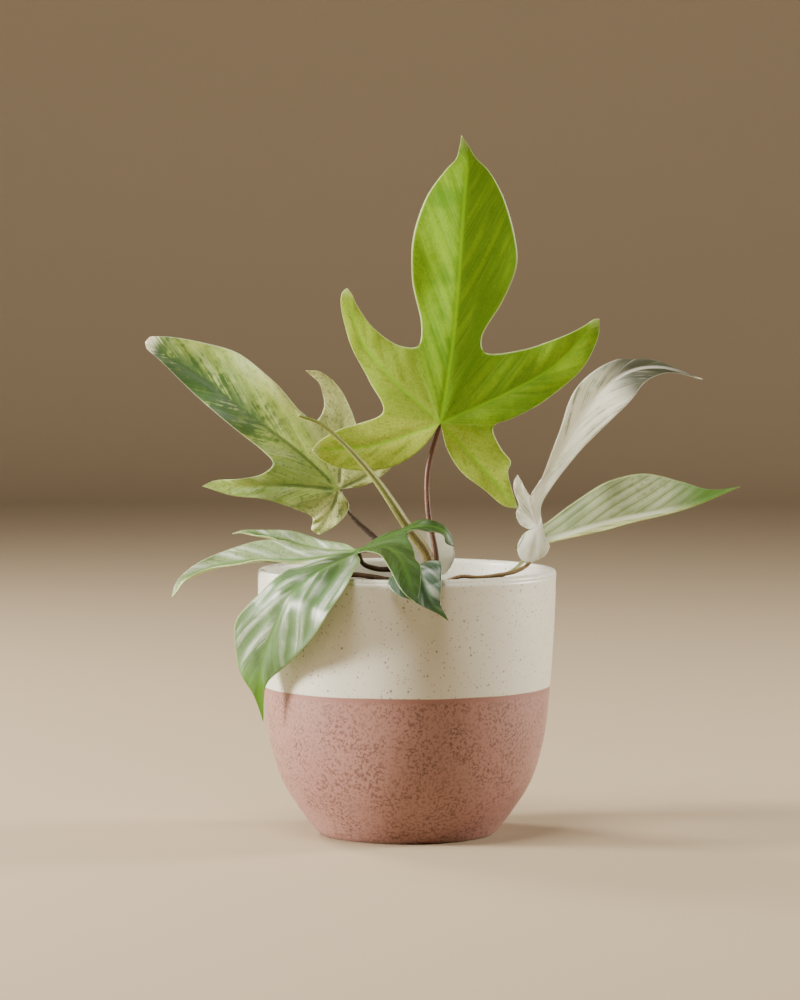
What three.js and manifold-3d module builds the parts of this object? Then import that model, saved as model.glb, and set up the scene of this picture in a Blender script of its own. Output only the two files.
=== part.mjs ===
// A young variegated climbing philodendron in a stoneware tub: the tub, its compost, a short
// stem, seven leaves on their stalks, one leaf that is still rolled and a root in the air.
// Millimetres, +Z up, the origin at the middle of the tub's base, the front at -Y.
import * as THREE from 'three';
import { mergeVertices } from 'three/addons/utils/BufferGeometryUtils.js';
import Module from 'manifold-3d';

const wasm = await Module();
wasm.setup();

// Driving dimensions
const tubHeight = 116;
const rimRadius = 65.2;
const footRadius = 38.6;
const wallThickness = 3.6;
const floorThickness = 6;
const compostDrop = 13;
const bladeThickness = 0.8;
const gap = 0.3;

// How a blade bends beside its ribs: its fold and cup stop growing this far out, and begin
// over this share of a rib. Each row ahead of a notch leaves its rib somewhat before it.
const foldReach = 25;
const foldStart = 0.3;
const ribSoftness = 0.3;
const notchLead = 0.8;

// How finely the round and the leafy pieces are cut
const tubSides = 48;
const bellySteps = 17;
const stemSides = 8;
const stepsPerSpan = 3;
const bladeRows = 12;
const bladeColumns = 3;
const ribSteps = 24;
const marginSteps = 60;

const vec = (p) => new THREE.Vector3(...p);
const spline = (points) => new THREE.CatmullRomCurve3(points.map(vec));
const clamp = THREE.MathUtils.clamp;

// Solids: a closed geometry for joining and cutting, and the way back

function toSolid(geometry) {
  const bare = new THREE.BufferGeometry();
  bare.setAttribute('position', geometry.getAttribute('position'));
  bare.setIndex(geometry.index);
  const merged = mergeVertices(bare, 1e-4);
  return new wasm.Manifold(new wasm.Mesh({
    numProp: 3,
    vertProperties: merged.attributes.position.array,
    triVerts: new Uint32Array(merged.index.array),
  }));
}

function toGeometry(solid) {
  const mesh = solid.getMesh();
  const geometry = new THREE.BufferGeometry();
  geometry.setAttribute('position', new THREE.BufferAttribute(mesh.vertProperties, 3));
  geometry.setIndex(new THREE.BufferAttribute(mesh.triVerts, 1));
  return geometry;
}

// Cuts the others away and keeps the largest piece that is left.
function clearOf(solid, others) {
  const cut = others.reduce((rest, other) => rest.subtract(other), solid);
  const pieces = cut.decompose();
  return pieces.sort((a, b) => b.volume() - a.volume())[0];
}

// The tub: thick foot, belly and an upright wall with a soft rim

function tubProfile() {
  const belly = spline([
    [footRadius, 0, 0], [46.6, 10.5, 0], [54.6, 23.5, 0], [60, 41.5, 0],
    [62.8, 66, 0], [64.9, 100, 0], [rimRadius, tubHeight - wallThickness / 2, 0],
  ]);
  const outside = belly.getPoints(bellySteps).map((p) => new THREE.Vector2(p.x, p.y));
  const rim = [40, 90, 140].map((angle) => {
    const turn = THREE.MathUtils.degToRad(angle);
    const half = wallThickness / 2;
    const x = rimRadius - half + half * Math.cos(turn);
    return new THREE.Vector2(x, tubHeight - half + half * Math.sin(turn));
  });
  const inner = rimRadius - wallThickness;
  const inside = [
    [inner, tubHeight - 3], [inner - 0.8, 90], [inner - 2.6, 60], [inner - 6.5, 34],
    [inner - 13, 17], [inner - 22, floorThickness + 1.5], [inner - 28, floorThickness],
  ].map((p) => new THREE.Vector2(...p));
  const axis = (z) => new THREE.Vector2(0, z);
  return [axis(0), ...outside, ...rim, ...inside, axis(floorThickness)];
}

function compostProfile() {
  const inner = rimRadius - wallThickness - gap;
  const top = tubHeight - compostDrop;
  return [
    [0, floorThickness + gap], [inner - 28, floorThickness + gap],
    [inner - 22.4, floorThickness + 1.5 + gap], [inner - 13.4, 17],
    [inner - 6.8, 34], [inner - 2.8, 60], [inner - 0.9, 90], [inner - 0.4, top - 1.5],
    [inner - 7, top], [inner - 20, top - 0.8], [inner - 34, top + 0.7], [0, top],
  ].map((p) => new THREE.Vector2(...p));
}

// A stem or stalk: a closed tube along a curve, whose radius changes from point to point.
// extra makes it larger all round, to cut clearance for it.

function tube({ points, radii }, extra = 0) {
  const steps = stepsPerSpan * (points.length - 1);
  const curve = spline(points);
  const frames = curve.computeFrenetFrames(steps, false);
  const places = [];
  for (let i = 0; i <= steps; i += 1) {
    const along = i / steps;
    const spot = clamp(along * (radii.length - 1), 0, radii.length - 1);
    const low = Math.min(Math.floor(spot), radii.length - 2);
    const radius = THREE.MathUtils.lerp(radii[low], radii[low + 1], spot - low) + extra;
    const beyond = extra * (Number(i === steps) - Number(i === 0));
    const centre = curve.getPointAt(along).addScaledVector(frames.tangents[i], beyond);
    for (let j = 0; j < stemSides; j += 1) {
      const turn = (2 * Math.PI * j) / stemSides;
      const out = frames.normals[i].clone().multiplyScalar(Math.cos(turn) * radius);
      out.addScaledVector(frames.binormals[i], Math.sin(turn) * radius);
      places.push(centre.clone().add(out));
    }
  }
  const faces = [];
  for (let i = 0; i < steps; i += 1) {
    for (let j = 0; j < stemSides; j += 1) {
      const a = i * stemSides + j;
      const b = i * stemSides + ((j + 1) % stemSides);
      faces.push(a, b, b + stemSides, a, b + stemSides, a + stemSides);
    }
  }
  const last = steps * stemSides;
  for (let j = 1; j < stemSides - 1; j += 1) {
    faces.push(0, j + 1, j, last, last + j, last + j + 1);
  }
  const geometry = new THREE.BufferGeometry().setFromPoints(places);
  geometry.setIndex(faces);
  return toSolid(geometry);
}

// A leaf blade. In the flat, the junction with the stalk is at 0, 0. Each lobe has a rib from
// there to its tip, and margins that run from the notch before it up to the tip and down to
// the notch after it. In space each rib follows a path of as many points, and the blade is
// carried by its ribs: a point near a rib moves with it, one between two ribs with both.

function makeRib(leaf, lobe) {
  const flatCurve = spline([[0, 0, 0], ...lobe.rib.map(([x, y]) => [x, y, 0])]);
  const path = spline([[0, 0, 0], ...lobe.path]);
  const flat = flatCurve.getPoints(ribSteps);
  const space = path.getPoints(ribSteps).map((p) => p.add(vec(leaf.base)));
  const faces = [leaf.faces, ...lobe.faces].map((f) => vec(f).normalize());
  const frames = space.map((_, i) => {
    const before = space[Math.max(i - 1, 0)];
    const after = space[Math.min(i + 1, ribSteps)];
    const along = after.clone().sub(before).normalize();
    const spot = (i / ribSteps) * (faces.length - 1);
    const low = Math.min(Math.floor(spot), faces.length - 2);
    const up = faces[low].clone().lerp(faces[low + 1], spot - low);
    up.addScaledVector(along, -up.dot(along)).normalize();
    return { up, right: along.clone().cross(up) };
  });
  return { flat, space, frames, fold: lobe.fold ?? 0, cup: lobe.cup ?? 0 };
}

// The nearest place on a rib: the segment, how far along it, and how far to the right.
function nearestOnRib(rib, x, y) {
  let best = null;
  for (let i = 0; i < ribSteps; i += 1) {
    const a = rib.flat[i];
    const b = rib.flat[i + 1];
    const length = Math.hypot(b.x - a.x, b.y - a.y);
    const ux = (b.x - a.x) / length;
    const uy = (b.y - a.y) / length;
    const along = ((x - a.x) * ux + (y - a.y) * uy) / length;
    const held = clamp(along, 0, 1);
    const far = Math.hypot(x - a.x - ux * length * held, y - a.y - uy * length * held);
    if (!best || far < best.far) {
      const loose = (i === 0 && along < 0) || (i === ribSteps - 1 && along > 1);
      const right = (x - a.x) * uy - (y - a.y) * ux;
      best = { i, far, right, along: loose ? along : held };
    }
  }
  return best;
}

function placeOnLeaf(ribs, x, y) {
  const sum = new THREE.Vector3();
  let total = 0;
  for (const rib of ribs) {
    const { i, far, right, along } = nearestOnRib(rib, x, y);
    const point = rib.space[i].clone().lerp(rib.space[i + 1], along);
    const t = clamp((i + along) / ribSteps, 0, 1);
    const side = rib.frames[i].right.clone().lerp(rib.frames[i + 1].right, clamp(along, 0, 1));
    const up = rib.frames[i].up.clone().lerp(rib.frames[i + 1].up, clamp(along, 0, 1));
    const out = Math.sqrt(right * right + 1) - 1;
    const grown = THREE.MathUtils.smoothstep(t, 0, foldStart);
    const bowl = Math.min(right * right, foldReach * foldReach);
    const rise = grown * (rib.fold * Math.min(out, foldReach) + rib.cup * bowl);
    point.addScaledVector(side.normalize(), right).addScaledVector(up.normalize(), rise);
    const weight = 1 / (far * far + ribSoftness) ** 2;
    sum.addScaledVector(point, weight);
    total += weight;
  }
  return sum.divideScalar(total);
}

// The margins of all lobes, cut at the notches: curves from tip to tip, the share of each at
// its notch, and how many rows of the lobes beside it end on the line to the notch.
function marginsOf(lobes) {
  const tip = (lobe) => lobe.rib[lobe.rib.length - 1];
  const runs = [];
  for (let i = 0; i <= lobes.length; i += 1) {
    const down = i > 0 ? [tip(lobes[i - 1]), ...lobes[i - 1].down] : [];
    const up = i < lobes.length ? [...lobes[i].up, tip(lobes[i])] : [];
    const open = i === 0 || i === lobes.length;
    const notch = open ? [0, 0] : lobes[i - 1].notch;
    const points = [...down, notch, ...up];
    const curve = spline(points.map(([x, y]) => [x, y, 0]));
    const reach = open ? 0 : (notchShare(lobes[i - 1], notch) + notchShare(lobes[i], notch)) / 2;
    const inner = open ? 0 : clamp(Math.round(bladeRows * reach), 2, bladeRows - 4);
    runs.push({ curve, cut: down.length / (points.length - 1), notch, inner });
  }
  return runs;
}

// The share of a lobe's rib at which the row to a notch leaves it, somewhat before the notch.
function notchShare(lobe, notch) {
  const [x, y] = lobe.rib[lobe.rib.length - 1];
  return (notchLead * (notch[0] * x + notch[1] * y)) / (x * x + y * y);
}

// Points at even distances along a stretch of a curve.
function evenly(curve, from, to, count) {
  const fine = [];
  for (let i = 0; i <= marginSteps; i += 1) {
    fine.push(curve.getPoint(from + ((to - from) * i) / marginSteps));
  }
  const lengths = [0];
  fine.slice(1).forEach((p, i) => lengths.push(lengths[i] + p.distanceTo(fine[i])));
  return Array.from({ length: count + 1 }, (_, k) => {
    const want = Math.min((lengths[marginSteps] * k) / count, lengths[marginSteps]);
    const i = clamp(lengths.findIndex((l) => l >= want) - 1, 0, marginSteps - 1);
    return fine[i].clone().lerp(fine[i + 1], (want - lengths[i]) / (lengths[i + 1] - lengths[i]));
  });
}

// The blade's flat points and its triangles: each half lobe is a fan of rows, from the rib
// out to the line that leads to the notch and on along the margin to the tip.
function flatBlade(leaf) {
  const points = [];
  const found = new Map();
  const triangles = [];
  const add = (x, y, wave) => {
    const key = `${Math.round(x * 1e4)},${Math.round(y * 1e4)}`;
    if (!found.has(key)) {
      found.set(key, points.length);
      points.push({ x, y, wave });
    }
    return found.get(key);
  };
  const runs = marginsOf(leaf.lobes);
  leaf.lobes.forEach((lobe, which) => {
    const starts = spline([[0, 0, 0], ...lobe.rib.map(([x, y]) => [x, y, 0])])
      .getSpacedPoints(bladeRows);
    for (const rising of [true, false]) {
      const { curve, cut, notch, inner } = rising ? runs[which] : runs[which + 1];
      const outer = bladeRows - inner;
      const ends = [];
      for (let j = 0; j < inner; j += 1) {
        ends.push(new THREE.Vector3(notch[0], notch[1], 0).multiplyScalar(j / inner));
      }
      ends.push(...evenly(curve, cut, rising ? 1 : 0, outer));
      const rows = ends.map((end, j) => {
        const free = clamp((j - inner) / outer, 0, 1);
        const swell = Math.sin(Math.PI * free);
        const wave = swell * Math.sin(2 * Math.PI * (lobe.waves ?? 2) * free + which * 1.7);
        return Array.from({ length: bladeColumns + 1 }, (_, c) => {
          const p = starts[j].clone().lerp(end, c / bladeColumns);
          return add(p.x, p.y, wave * (c / bladeColumns) ** 2);
        });
      });
      for (let j = 0; j < bladeRows; j += 1) {
        for (let c = 0; c < bladeColumns; c += 1) {
          const [a, b] = [rows[j][c], rows[j][c + 1]];
          const [d, e] = [rows[j + 1][c], rows[j + 1][c + 1]];
          const pair = rising ? [[a, d, e], [a, e, b]] : [[a, e, d], [a, b, e]];
          triangles.push(...pair.filter(([p, q, r]) => p !== q && q !== r && r !== p));
        }
      }
    }
  });
  return { points, triangles };
}

function blade(leaf, extra = 0) {
  const ribs = leaf.lobes.map((lobe) => makeRib(leaf, lobe));
  const { points, triangles } = flatBlade(leaf);
  const middle = points.map((p) => placeOnLeaf(ribs, p.x, p.y));
  const normals = middle.map(() => new THREE.Vector3());
  for (const [a, b, c] of triangles) {
    const edge = middle[b].clone().sub(middle[a]);
    const face = edge.cross(middle[c].clone().sub(middle[a]));
    [a, b, c].forEach((i) => normals[i].add(face));
  }
  normals.forEach((n, i) => {
    n.normalize();
    middle[i].addScaledVector(n, points[i].wave * (leaf.wave ?? 0.8));
  });
  const half = bladeThickness / 2 + extra;
  const places = [
    ...middle.map((p, i) => p.clone().addScaledVector(normals[i], half)),
    ...middle.map((p, i) => p.clone().addScaledVector(normals[i], -half)),
  ];
  const count = middle.length;
  const faces = [];
  const edges = new Map();
  for (const [a, b, c] of triangles) {
    faces.push(a, b, c, a + count, c + count, b + count);
    for (const [p, q] of [[a, b], [b, c], [c, a]]) {
      if (!edges.delete(`${q},${p}`)) edges.set(`${p},${q}`, [p, q]);
    }
  }
  for (const [p, q] of edges.values()) {
    faces.push(q, p, p + count, q, p + count, q + count);
  }
  const geometry = new THREE.BufferGeometry().setFromPoints(places);
  geometry.setIndex(faces);
  return toSolid(geometry);
}

// The leaves. base is the junction in space, faces the way the upper side looks, paths are
// measured from base. up and down are the margins before and after each tip, seen from above.

// The leaf that stands highest, with five lobes
const topLeaf = {
  base: [14.6, -9, 180],
  faces: [0, -1, 0.05],
  wave: 0.7,
  lobes: [
    {
      rib: [[-29, -9.5], [-55.8, -11.6]],
      path: [[-29, 1, -9.5], [-55.8, -2, -11.6]],
      faces: [[-0.1, -1, 0.1]],
      fold: -0.12,
      up: [[-7.5, -10.4], [-20, -18.7], [-34.4, -20.6], [-44.5, -19.3], [-52.5, -15.4]],
      down: [[-52.8, -8], [-43.5, -2.6]],
      notch: [-25, 4.9],
    },
    {
      rib: [[-22, 20], [-35, 37], [-40.6, 58.6]],
      path: [[-22, 1, 20], [-35, 3, 37], [-40.6, -1, 58.6]],
      faces: [[-0.25, -1, 0]],
      fold: -0.06,
      up: [[-31.2, 18.4], [-39.5, 35.1], [-43.3, 50.6], [-42.6, 56.6]],
      down: [[-38.4, 56], [-36.2, 50.8], [-28.9, 41.2], [-19, 34]],
      notch: [-9.8, 33.4],
    },
    {
      rib: [[6.1, 41], [10.2, 96], [11.6, 115], [8.9, 124.5]],
      path: [[6.1, 0, 41], [10.2, 3, 96], [11.6, 1, 115], [8.9, -1.5, 124.5]],
      faces: [[0, -1, 0], [0, -1, 0.1]],
      fold: -0.3,
      cup: 0.003,
      up: [
        [-8.4, 42], [-12.6, 64], [-12, 80], [-6.4, 97.4], [2, 109], [6.8, 114.4],
        [8.2, 119.5],
      ],
      down: [
        [12.4, 119.4], [15.2, 114.6], [20.4, 109.4], [27, 98.4], [32, 83], [33.3, 69],
        [27, 52.8], [18, 37],
      ],
      notch: [19, 30.9],
    },
    {
      rib: [[30, 13.5], [50, 25], [68.8, 45.2]],
      path: [[30, 2, 13.5], [50, 4, 25], [68.8, 0, 45.2]],
      faces: [[0.25, -1, 0]],
      fold: -0.1,
      up: [[35.6, 31.7], [53.4, 37.8], [62.4, 42.2], [66.6, 45]],
      down: [[69, 41.8], [68.2, 36], [61.2, 22.8], [45.6, 9.5], [31, 1.8]],
      notch: [23, -1.8],
    },
    {
      rib: [[14, -15], [33.8, -37.2]],
      path: [[14, 1.5, -15], [33.8, -1, -37.2]],
      faces: [[0.1, -1, 0.1]],
      fold: -0.1,
      up: [[26.4, -11], [30.6, -16.6], [29.2, -21.5], [31.6, -30.5]],
      down: [[27.6, -36], [19.2, -29.2], [9, -21.2], [2.6, -10.6]],
    },
  ],
};

// The leaf that reaches out to the left
const leftLeaf = {
  base: [-29.6, 3, 150.4],
  faces: [0.05, -1, 0.15],
  wave: 0.9,
  lobes: [
    {
      rib: [[-3.5, -9], [-8.6, -19.7]],
      path: [[-3.5, -1, -9], [-8.6, -2.5, -19.7]],
      faces: [[0, -1, 0.2]],
      up: [[4.3, -7.3], [-0.6, -15]],
      down: [[-12, -17.5]],
      notch: [-11.6, -12.2],
    },
    {
      rib: [[-22, 2], [-42, 1.5], [-60, 1.4]],
      path: [[-22, -2, 2], [-42, -3, 1.5], [-60, 1, 1.4]],
      faces: [[-0.15, -1, 0.1]],
      fold: 0.1,
      up: [[-19, -8.6], [-32, -4.4], [-47.2, -2.3]],
      down: [[-54.5, 3.9], [-42, 5], [-33, 7.2]],
      notch: [-28.8, 11.3],
    },
    {
      rib: [[-17.8, 16.5], [-36.2, 30.3], [-61, 49], [-85.7, 64]],
      path: [[-17.8, 1, 16.5], [-36.2, 4, 30.3], [-61, 12, 49], [-85.7, 18, 64]],
      faces: [[0, -1, 0.1], [-0.1, -1, 0.2]],
      fold: 0.12,
      up: [[-32.5, 16], [-49.9, 29.4], [-67, 44.5], [-80, 56.8], [-85, 61.4]],
      down: [[-83, 66.6], [-77, 66.6], [-61, 64.1], [-44, 59], [-30, 48.6], [-17, 34]],
      notch: [-10.5, 29.8],
    },
    {
      rib: [[0.5, 17], [0.6, 37], [-6, 48.6], [-14.6, 52]],
      path: [[0.5, 2, 17], [0.6, 5, 37], [-6, 6, 48.6], [-14.6, 4, 52]],
      faces: [[0.3, -1, 0]],
      fold: 0.1,
      up: [[-6.8, 36], [-8.6, 45.4]],
      down: [[-8.6, 51.4], [-0.5, 45], [4.7, 35.8], [8, 26]],
      notch: [9.5, 18],
    },
    {
      rib: [[12, 6], [25, 13]],
      path: [[12, 1, 6], [25, 2, 13]],
      faces: [[0.1, -1, 0.1]],
      up: [[18, 17.5]],
      down: [[21.5, 8.4], [12, 2]],
    },
  ],
};

// The white leaf at the right, whose long middle lobe arches over
const rightLeaf = {
  base: [57.3, 3, 134.4],
  faces: [-0.1, -1, 0],
  wave: 0.4,
  lobes: [
    {
      rib: [[-5, 1.6], [-9.2, 3.4]],
      path: [[-5, 2, 1.6], [-9.2, 3, 3.4]],
      faces: [[-0.3, -1, 0]],
      up: [[-4.1, -1.2], [-7.7, 0.6]],
      down: [[-9.3, 6]],
      notch: [-8.2, 8.6],
    },
    {
      rib: [[-5, 11], [-8.9, 22.4]],
      path: [[-5, 1, 11], [-8.9, 1, 22.4]],
      faces: [[-0.3, -1, 0]],
      up: [[-10.2, 14.2], [-10.6, 19.2]],
      down: [[-7.2, 19.4], [-5.2, 16]],
      notch: [-3, 13],
    },
    {
      rib: [[0, 9.8], [0, 22], [0, 47.5], [0, 68.5], [0, 85.5], [0, 99], [0, 118]],
      path: [
        [-0.8, 3, 9.3], [3.6, 7, 20.1], [15.7, 15, 40.8], [27.5, 20, 57.4],
        [41.3, 22, 67.1], [54.7, 22, 68.8], [73.3, 19, 63.6],
      ],
      faces: [[-0.1, -1, 0.1], [0.1, -0.8, 0.5], [0.2, -0.7, 0.7]],
      fold: 0.25,
      up: [[-1.6, 20], [-4.4, 42], [-8.6, 62], [-7.6, 80], [-3.4, 96], [-1, 107]],
      down: [[1.4, 107], [6.6, 96], [12.6, 80], [12.5, 62], [8, 42], [4, 20], [2.4, 9]],
      notch: [2, 2.4],
    },
    {
      rib: [[-1, -8], [-2.7, -15.7]],
      path: [[-1, -4, -8], [-2.7, -3.5, -15.7]],
      faces: [[0.1, -1, 0.1]],
      cup: -0.02,
      waves: 0,
      up: [[3, -3.6], [5, -8.6], [3, -13]],
      down: [[-7.2, -14.6], [-9.3, -9], [-6.5, -3.4]],
    },
  ],
};

// The narrow leaf under it
const lowRightLeaf = {
  base: [60.6, 15, 127.2],
  faces: [-0.2, -0.8, 0.6],
  wave: 0.5,
  lobes: [
    {
      rib: [[-3, -6], [-6.5, -12]],
      path: [[-5, 1, -1], [-13, 2, -3.5]],
      faces: [[-0.1, -1, 0.3]],
      up: [[-1, -9]],
      down: [[-9, -4]],
      notch: [-8.5, 3],
    },
    {
      rib: [[0, 31], [0, 53], [0, 71.5], [0, 90.5]],
      path: [[29, -5, 8.8], [49.5, -10, 13.2], [66.6, -15, 18.2], [84.4, -20, 24.9]],
      faces: [[0, -0.7, 0.71], [0, -0.7, 0.71]],
      fold: 0.5,
      up: [[-12.6, 17], [-16.4, 35], [-16.4, 51], [-10, 66], [-3.2, 78]],
      down: [[1.2, 78], [2.8, 66], [5.4, 50], [6.2, 35], [3.6, 17]],
      notch: [2.6, 2],
    },
    {
      rib: [[2.4, -3.6], [4.6, -7]],
      path: [[-1.4, -2, -2.4], [-3.4, -3, -5.6]],
      faces: [[0, -1, 0.3]],
      up: [[5.6, -2.4]],
      down: [[1, -6]],
    },
  ],
};

// The leaf that hangs over the rim at the front left
const frontLeaf = {
  base: [-21, -21, 126],
  faces: [-0.15, -0.4, 0.9],
  wave: 0.8,
  lobes: [
    {
      rib: [[-19.5, -3.5], [-34.5, -8], [-41, -11.5], [-48, -16.5]],
      path: [[16, -9, 8.6], [29, -13, 12], [37, -12, 9.4], [41, -8, 1.8]],
      faces: [[0.05, -0.3, 0.95], [0.3, -0.45, 0.85], [0.7, -0.6, 0.3]],
      fold: -0.15,
      up: [[-9, -7], [-22, -9.5], [-34, -12.5], [-41, -15.5], [-45.5, -17.6]],
      down: [[-47, -11.5], [-43.5, -7.5], [-35.5, -3]],
      notch: [-28.5, 1],
    },
    {
      rib: [[-21.5, 12], [-42.5, 23], [-53, 28.5], [-61, 32]],
      path: [[12.9, -26, 3.2], [20.6, -52, -4], [22.8, -62, -11], [24.6, -67, -17.5]],
      faces: [[0.2, -0.5, 0.8], [0.3, -0.95, 0.2]],
      fold: -0.15,
      up: [[-35, 10], [-45, 17], [-54, 24], [-59, 29.4]],
      down: [[-58, 33], [-52, 33.5], [-41, 30], [-26.4, 23], [-13.6, 15]],
      notch: [-3.8, 7.8],
    },
    {
      rib: [[0, 22], [0, 41], [0, 53], [0, 68], [0, 97], [0, 119]],
      path: [
        [-10.1, -19, -3.4], [-20, -34, -8], [-28.8, -37, -16.3], [-35, -33, -29],
        [-42.7, -19, -53], [-40.9, -11, -73.6],
      ],
      faces: [[-0.2, -0.5, 0.8], [-0.5, -0.85, 0.25], [-0.5, -0.85, 0.1]],
      fold: -0.1,
      cup: -0.001,
      waves: 3,
      up: [
        [-15, 25], [-22, 40], [-23.5, 55], [-18, 70], [-10.5, 87], [-4, 101], [-1.6, 110],
      ],
      down: [
        [1.6, 111], [4, 105], [13.6, 97], [20.5, 86], [18, 72], [13, 54], [12, 36],
      ],
      notch: [14, 18.5],
    },
    {
      rib: [[23, 12], [43, 23], [60, 32], [72, 40], [79, 47]],
      path: [
        [-25.9, 3, -4], [-47.5, 10, -5], [-65, 15, -8.8], [-77, 16, -14.6], [-81.6, 16, -22],
      ],
      faces: [[0.1, -0.5, 0.85], [0, -0.5, 0.85], [-0.5, -0.5, 0.6]],
      fold: 0.4,
      up: [[30, 24], [45, 30], [60, 36.5], [71, 43], [77.6, 47.4]],
      down: [[76.4, 42], [70, 35], [60, 26], [46, 14], [32, 5]],
      notch: [23, 0.5],
    },
    {
      rib: [[23.7, -6.3], [44, -11.8], [60, -16], [66.5, -17.8]],
      path: [[-17.7, 18.5, -0.4], [-35.2, 30, 3], [-50, 36, 5.4], [-56, 38, 4]],
      faces: [[0.1, -0.45, 0.88], [0, -0.5, 0.85]],
      fold: 0.3,
      up: [[33, -4.5], [46, -8.5], [58, -14]],
      down: [[58, -17.2], [44, -16.6], [30, -13.5], [14, -9]],
    },
  ],
};

// The small leaf over the rim beside it
const rimLeaf = {
  base: [3, -57, 120.8],
  faces: [-0.25, -0.3, 0.92],
  wave: 0.4,
  lobes: [
    {
      rib: [[0, 9], [0, 18.4], [0, 27.8], [0, 35]],
      path: [[1, -8.6, -0.6], [3.8, -13.5, -7.5], [7.7, -15.8, -15.5], [14.5, -16, -21.5]],
      faces: [[-0.25, -0.45, 0.85], [-0.2, -0.95, 0.3]],
      fold: -0.1,
      up: [[-5.5, -3], [-10.4, 3], [-10.4, 11], [-6.8, 21.6], [-3, 30]],
      down: [[0.6, 30], [5, 23.6], [12.4, 15], [13, 7.6], [6.5, 1.6]],
    },
  ],
};

// The small white leaf that stands behind the stem
const whiteLeaf = {
  base: [10, 7, 113.5],
  faces: [0, -1, 0.1],
  wave: 0.3,
  lobes: [
    {
      rib: [[0, 12], [0, 23]],
      path: [[-0.5, 1, 12], [-2, 2.5, 23]],
      faces: [[0, -1, 0.1]],
      fold: 0.2,
      up: [[-6, -1], [-11, 6], [-10, 14], [-4, 20.5]],
      down: [[4, 20.5], [10, 14], [11, 6], [6, -1]],
    },
  ],
};

// The stem stands in the compost. Each stalk starts on it and ends just under its blade.
const stem = {
  points: [[8, -8, 84], [8, -8, 100], [8.3, -8.5, 107], [9, -9, 113]],
  radii: [4.6, 4.6, 4.3, 2.4],
};

const rolledLeaf = {
  points: [
    [9.6, -12, 109], [9.2, -12.5, 121.8], [0.4, -16, 135], [-16, -24, 159.3],
    [-37, -32, 180.5], [-46.6, -35, 184.3],
  ],
  radii: [2.6, 2.6, 2.3, 1.4, 0.75, 0.35],
};

const airRoot = {
  points: [
    [4, -12, 107], [-5, -19, 111.5], [-14, -24, 114], [-25, -29, 115.4], [-33, -31, 112],
    [-36, -32, 104.5],
  ],
  radii: [1.3, 1.3, 1.2, 1.1, 1, 0.7],
};

const leaves = [
  {
    name: 'top_leaf',
    blade: topLeaf,
    bladeColour: 0x8fae2c,
    stalkColour: 0x7a4b3c,
    points: [
      [11.5, -7, 104], [12.6, -7.5, 121], [9.2, -6, 142], [9.2, -5.5, 160], [14.6, -7.1, 180],
    ],
    radii: [1.4, 1.3, 1.2, 1.1, 1],
  },
  {
    name: 'left_leaf',
    blade: leftLeaf,
    bladeColour: 0x9fb47c,
    stalkColour: 0x3b2e28,
    points: [[5, -6, 106], [-5, 0, 119.5], [-14, 5, 129], [-25, 7, 139.5], [-29.6, 5.2, 150]],
    radii: [1.6, 1.4, 1.3, 1.2, 1],
  },
  {
    name: 'right_leaf',
    blade: rightLeaf,
    bladeColour: 0xe6e9d8,
    stalkColour: 0x8d6a52,
    points: [
      [11, -9, 108], [23, -8, 113], [31, -6, 112.6], [40, -4, 113.5], [48, -1, 115],
      [54, 2, 119], [57.3, 5, 134],
    ],
    radii: [1.2, 0.9, 0.8, 0.9, 0.9, 0.9, 0.8],
  },
  {
    name: 'low_right_leaf',
    blade: lowRightLeaf,
    bladeColour: 0x9aa88c,
    stalkColour: 0x97a56c,
    points: [
      [11, -5, 106], [23, -2, 110], [36, 1, 111], [46, 5, 114.5], [52, 11, 119],
      [60.6, 16.8, 124.9],
    ],
    radii: [1.2, 0.9, 0.8, 0.8, 0.9, 0.8],
  },
  {
    name: 'front_leaf',
    blade: frontLeaf,
    bladeColour: 0x8fa888,
    stalkColour: 0x56612f,
    points: [
      [5, -8, 110], [-4, -11, 116], [-13, -15, 117], [-19, -18, 119.5], [-21, -20.4, 124.5],
    ],
    radii: [1.5, 1.3, 1.2, 1.1, 1],
  },
  {
    name: 'rim_leaf',
    blade: rimLeaf,
    bladeColour: 0x4c6354,
    stalkColour: 0x4a4433,
    points: [[7, -12, 105], [5, -22, 112], [3, -36, 116.5], [3, -48, 118.8], [3, -56.5, 119.3]],
    radii: [1.3, 1.1, 1, 0.9, 0.8],
  },
  {
    name: 'white_leaf',
    blade: whiteLeaf,
    bladeColour: 0xe9ebe0,
    stalkColour: 0xa9a58a,
    points: [[9, -7, 106.5], [10.3, 0, 109], [10.5, 7.4, 112.4]],
    radii: [1.1, 0.9, 0.8],
  },
];

const parts = new THREE.Group();
export default parts;

function addPart(name, solid, color, roughness) {
  const material = new THREE.MeshStandardMaterial({ color, roughness, metalness: 0 });
  const mesh = new THREE.Mesh(toGeometry(solid), material);
  mesh.name = name;
  parts.add(mesh);
}

const turned = (profile) => toSolid(new THREE.LatheGeometry(profile, tubSides).rotateX(Math.PI / 2));

addPart('tub', turned(tubProfile()), 0xe8e2d6, 0.6);
addPart('compost', turned(compostProfile()).subtract(tube(stem, gap)), 0x33261d, 1);
addPart('stem', tube(stem), 0x4c4a35, 0.7);

// Each stalk is cut clear of what stands in its way, and of its own blade.
const inTheWay = [tube(stem, gap)];
for (const [name, shape, colour] of [
  ['rolled_leaf', rolledLeaf, 0x78834a],
  ['air_root', airRoot, 0x5d4636],
]) {
  addPart(name, clearOf(tube(shape), inTheWay), colour, 0.7);
  inTheWay.push(tube(shape, gap));
}
for (const leaf of leaves) {
  addPart(`${leaf.name}_blade`, blade(leaf.blade), leaf.bladeColour, 0.5);
  const stalk = clearOf(tube(leaf), [...inTheWay, blade(leaf.blade, gap)]);
  addPart(`${leaf.name}_stalk`, stalk, leaf.stalkColour, 0.6);
  inTheWay.push(tube(leaf, gap));
}
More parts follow.
